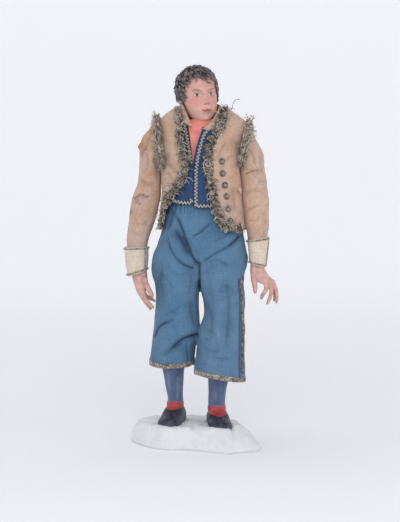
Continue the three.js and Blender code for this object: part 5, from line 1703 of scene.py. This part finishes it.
def makeHand(side):
    look = hands[side]
    parts = [loftPiece("palm", look["palm"], 36, 30)]
    for finger in look["fingers"]:
        line = splineAt(finger, np.linspace(0, 1, 24))
        knuckles = 1 + 0.07 * bump(np.linspace(0, 1, 24) - 0.36, 0.07) + 0.06 * bump(np.linspace(0, 1, 24) - 0.68, 0.06)
        slim = 1 - (1 - hands["slim"]) * soft(np.linspace(0, 1, 24), 0, 0.35)
        parts.append(threadPiece("finger", line[:, :3], line[:, 3] * knuckles * slim, 18, tip=0.16))
    piece = remeshed(merged("carvedHand_" + side, parts), hands["voxel"], 2)
    p = getPoints(piece)
    colour = mixed(np.tile(rgb(hands["skin"]), (len(p), 1)), rgb(hands["deep"]), 0.12 * (1 + waves(p, 7, 95)))
    sunk = np.zeros(len(p))
    for finger in look["fingers"]:
        line = splineAt(finger, np.linspace(0, 1, 40))[:, :3]
        near, _, share = fromLine(p, line)
        of = near < 4.2
        for at in (0.36, 0.69):
            crease = of * bump(share - at, 0.018)
            sunk += 0.16 * crease
            colour = mixed(colour, rgb(hands["joint"]), 0.45 * of * bump(share - at, 0.06))
        tip = line[-1]
        ahead = unit(line[-1] - line[-4])
        back = unit(np.cross(np.cross(ahead, [0.0, -1.0, 0.3]), ahead))
        nailAt = tip - ahead * 1.6 + back * finger[-1][3] * 0.9
        nail = bump(np.linalg.norm(p - nailAt, axis=1), 1.35, 4)
        sunk -= 0.12 * nail
        colour = mixed(colour, rgb(hands["nail"]), 0.7 * nail)
        colour = mixed(colour, rgb(hands["joint"]), 0.35 * bump(np.linalg.norm(p - tip, axis=1), 2.4) * (1 - nail))
    # The lines between the fingers are painted dark: painted shade in the crevices
    deep = np.clip(-getCurve(piece), 0, 1)
    colour = mixed(colour, rgb(hands["deep"]), 0.85 * deep)
    setPoints(piece, p - getNormals(piece) * sunk[:, None])
    painted(piece, "paint", colour)
    return handed(piece, handPaint, "painted_hand", "hand_" + side)


# How far each point stands out from the mean of its neighbours, so that hollows come out below zero
def getCurve(piece, rounds=6, scale=0.5):
    smooth = piece.copy()
    smooth.data = piece.data.copy()
    bpy.context.scene.collection.objects.link(smooth)
    edited(smooth, lambda bm: [
        bmesh.ops.smooth_vert(bm, verts=bm.verts, factor=0.5, use_axis_x=True, use_axis_y=True, use_axis_z=True)
        for _ in range(rounds)
    ])
    out = ((getPoints(piece) - getPoints(smooth)) * getNormals(piece)).sum(1) / scale
    dropped(smooth)
    return out


# Legs: stocking and shoe carved in one, and painted

legs = {
    "right": {"shoe": {"x": -19.5, "y": 10, "z": 18.8, "turn": 14, "red": (15.6, 24.6)},
              "calf": [[-20, 8, 127.7, 13, 13], [-21, 8, 98, 12.8, 13], [-21.4, 8.5, 80, 11.8, 12],
                       [-20.6, 9.5, 62, 9.4, 10], [-19.6, 10.5, 48, 8, 8.8], [-19.4, 10.5, 38, 8, 9],
                       [-19.4, 10, 26, 7.4, 8.4]]},
    "left": {"shoe": {"x": 22.6, "y": -2, "z": 17.8, "turn": -8, "red": (12.6, 23.0)},
             "calf": [[28.4, -3.6, 127.7, 12.6, 12.8], [26.4, -3.5, 92, 12.4, 12.6], [24.4, -3.5, 72, 11, 11.4],
                      [23, -3, 56, 9.2, 10], [22.2, -2, 43, 8.6, 9], [22.4, -2, 34, 8.4, 9], [22.6, -2, 25, 7.6, 8.4]]},
    # Along the shoe: reach forward of the ankle, half width, half height
    "last": [[-15, 3.4, 4.4], [-13, 7, 7.6], [-6, 8.8, 9.6], [2, 9.4, 10.4], [9, 9.8, 9.2], [17, 10.3, 6.6],
             [26, 10.2, 5.2], [33, 8, 4.4], [37, 3.4, 3]],
    "stocking": "#586a8c", "seam": "#36425f", "worn": "#7b87a0", "shoeBlack": "#2b2d3c", "scuffed": "#5a5a68",
    "tongue": "#b3474a", "voxel": 0.78,
}


def makeLeg(side):
    look = legs[side]
    shoe = look["shoe"]
    calf = loftPiece("calf", look["calf"], 48, 80, power=2.0)
    sections = [[0, high, reach, half, high] for reach, half, high in legs["last"]]
    foot = loftPiece("foot", sections, 48, 60, power=2.4)
    q = getPoints(foot)
    turn = -math.radians(shoe["turn"])
    # The last is lofted upright and laid down along the ground
    q = np.stack([q[:, 0], -q[:, 2], q[:, 1]], axis=1)
    q = np.stack([q[:, 0] * math.cos(turn) - q[:, 1] * math.sin(turn),
                  q[:, 0] * math.sin(turn) + q[:, 1] * math.cos(turn), q[:, 2]], axis=1)
    setPoints(foot, q + [shoe["x"], shoe["y"], shoe["z"]])
    edited(foot, lambda bm: bmesh.ops.recalc_face_normals(bm, faces=bm.faces))
    piece = remeshed(merged("carvedLeg_" + side, [calf, foot]), legs["voxel"], 4)

    p, n = getPoints(piece), getNormals(piece)
    off = p - [shoe["x"], shoe["y"], shoe["z"]]
    ahead = -(off[:, 1] * math.cos(turn) - off[:, 0] * math.sin(turn))
    beside = off[:, 0] * math.cos(turn) + off[:, 1] * math.sin(turn)
    high = off[:, 2]
    # Over the instep a red tongue shows above the black vamp, whose sides rise round the heel
    low, top = shoe["red"]
    front = soft(ahead, -1.5, 0.5)
    tongue = front * soft(high - low - 0.035 * beside ** 2, -0.3, 0.3)
    tongue *= soft(top - 0.02 * beside ** 2 - high, -0.3, 0.3)
    mouth = top - 1.5 - 1.2 * front * (1 - soft(np.abs(beside), 6, 9)) + 1.5 * soft(-ahead, 2, 10)
    inShoe = soft(mouth - high, -0.25, 0.25)
    rim = bump(mouth - high, 0.9) * soft(1 - tongue, 0, 1)
    relief = 0.55 * inShoe * (1 - tongue) + 0.75 * tongue + 0.35 * rim * inShoe
    relief += 0.25 * waves(p, 12, 101 if side == "right" else 103, (1, 1, 2)) * (1 - inShoe)
    relief += 0.5 * inShoe * (1 - tongue) * soft(low + 2 - high, -1, 1) - 0.5 * bump(high - 2.6, 0.5) * inShoe
    setPoints(piece, p + n * relief[:, None])
    colour = np.tile(rgb(legs["stocking"]), (len(p), 1))
    middle = splineAt([s[:3] for s in look["calf"]], np.clip((127.7 - p[:, 2]) / 101.7, 0, 1))
    colour = mixed(colour, rgb(legs["seam"]), 0.55 * bump(p[:, 0] - middle[:, 0] - 1, 4.5) * (n[:, 1] < 0.2)
                   * (0.7 + 0.3 * waves(p, 14, 104, (1, 1, 3))))
    colour = mixed(colour, rgb(legs["worn"]), 0.5 * soft(waves(p, 10, 105, (1, 1, 3)), 0.3, 1.5))
    black = mixed(np.tile(rgb(legs["shoeBlack"]), (len(p), 1)), rgb(legs["scuffed"]),
                  0.7 * soft(waves(p, 6, 106), 0.4, 1.6) + 0.4 * bump(high - 2, 3))
    colour = colour + (black - colour) * inShoe[:, None]
    red = mixed(np.tile(rgb(legs["tongue"]), (len(p), 1)), rgb("#7c3136"), 0.4 * soft(waves(p, 7, 107), 0, 1.5))
    colour = colour + (red - colour) * tongue[:, None]
    painted(piece, "paint", colour)
    return handed(piece, legPaint, "painted_leg", "leg_" + side)


# Mound: plaster poured and shaped by hand

mound = {
    "edge": [[-64.5, 17], [-58, -2], [-46, -22], [-32, -35], [-12, -37.5], [8, -45], [24, -55], [36, -60], [50, -51],
             [62, -46], [66, -34], [62, -14], [54, 8], [44, 26], [28, 40], [6, 47.5], [-18, 49], [-42, 46], [-58, 36]],
    "height": 22.5,
    "rim": 3.4,
    "creases": [
        {"line": [[-32, -8], [-40, -16], [-46, -24]], "half": 1.6, "depth": 0.9},
        {"line": [[-8, -18], [-12, -28], [-14, -38]], "half": 2.2, "depth": 0.8},
        {"line": [[-6, -14], [-3, -26], [0, -40]], "half": 2.2, "depth": 2.2},
        {"line": [[34, -22], [37, -36], [38, -56]], "half": 1.6, "depth": 1.8},
        {"line": [[38, -8], [50, -14], [62, -26]], "half": 2.0, "depth": 0.8},
        {"line": [[-50, 10], [-40, 2], [-30, 0]], "half": 2.6, "depth": 0.7},
        {"line": [[-4, 4], [6, 12], [2, 24]], "half": 2.6, "depth": 0.8},
    ],
}


def makeMound():
    look = mound
    edge = ringAt(look["edge"], np.linspace(0, 1, 1000))
    run = np.concatenate([[0], np.cumsum(np.linalg.norm(np.diff(edge, axis=0), axis=1))])

    def place(u, v):
        # v runs from the middle of the top over the rim and under the floor side to its middle
        out = np.interp(v, [0, 0.76, 0.84, 1], [0, 1, 1, 0])
        under = v > 0.8
        at = u * run[-1]
        rim = np.stack([np.interp(at, run, edge[:, 0]), np.interp(at, run, edge[:, 1])], axis=1)
        flat = rim * out[:, None]
        gentle = soft(flat[:, 0] - 0.6 * flat[:, 1], -20, 90)
        power = 22 + (3.4 - 22) * gentle
        lumps = 1.3 * np.sin(flat[:, 0] * 0.16 + 1) * np.sin(flat[:, 1] * 0.19) + 0.6 * np.sin(
            flat[:, 0] * 0.31 + flat[:, 1] * 0.23)
        high = look["rim"] + (look["height"] + out * lumps - look["rim"]) * (1 - out ** power)
        return np.stack([flat[:, 0], flat[:, 1], np.where(under, 0, high)], axis=1)

    piece = capped(gridPiece("plasterMound", 260, 110, place, ring=True))
    edited(piece, lambda bm: bmesh.ops.recalc_face_normals(bm, faces=bm.faces))
    piece = remeshed(piece, 1.4, 1)
    p, n = getPoints(piece), getNormals(piece)
    top = soft(p[:, 2], 1.2, 3.2)
    amount = 0.6 * waves(p, 26, 111) + 0.5 * np.abs(waves(p, 12, 112)) + 0.14 * waves(p, 5, 113)
    for crease in look["creases"]:
        near, _, share = fromLine(p[:, :2], evenLine(crease["line"], 20))
        ends = soft(share, 0, 0.3) * soft(1 - share, 0, 0.3)
        amount -= crease["depth"] * ends * (bump(near, crease["half"], 1.5) - 0.35 * bump(near - 2.2 * crease["half"],
                                                                                       1.4 * crease["half"]))
    # Plaster pressed up a little round each shoe, with painted shade in a ring where it meets the shoe
    dirt_and_shade = np.zeros(len(p))
    for side in ("right", "left"):
        shoe = legs[side]["shoe"]
        turn = -math.radians(shoe["turn"])
        offX, offY = p[:, 0] - shoe["x"], p[:, 1] - shoe["y"]
        ahead = -(offY * math.cos(turn) - offX * math.sin(turn))
        beside = offX * math.cos(turn) + offY * math.sin(turn)
        far = np.hypot(np.maximum(np.abs(ahead - 11) - 17, 0), beside)
        amount += 0.7 * bump(far - 14, 2.6) * soft(-n[:, 2], -1, -0.2)
        # Painted shade: a dark ring round each shoe's edge
        dirt_and_shade = np.maximum(dirt_and_shade, 0.55 * bump(far - 10.2, 1.3))
    p += n * (amount * top)[:, None]
    # The rim stands a little off the floor, so that a dark line shows under it
    rimward = unit(p[:, :2] * [1, 1.3])
    under = bump(p[:, 2] - 0.4, 1.0) * (np.hypot(p[:, 0] / 60, p[:, 1] / 45) > 0.6)
    p[:, :2] -= rimward * (1.6 * under)[:, None]
    p[:, 2] = np.where(p[:, 2] < 0.7, 0, np.maximum(p[:, 2], 0.02))
    setPoints(piece, p)
    dirt_and_shade = np.maximum(dirt_and_shade, spots(p, [(7, -18, 24, 2.2, 0.7), (-12, 3, 24, 2.6, 0.6), (20, 30, 24, 4, 0.3),
                                (37, -54, 17, 1.3, 1.0), (39, -55, 14, 1.3, 1.0), (38.5, -56, 10.5, 1.2, 0.9)]))
    painted(piece, "dirt_and_shade", dirt_and_shade)
    return handed(piece, plaster, "plaster", "plaster_base")


makeHead()
makeHair()
for side in ("right", "left"):
    makeHand(side)
    makeLeg(side)
makeMound()
print("head, hands, legs and mound made")
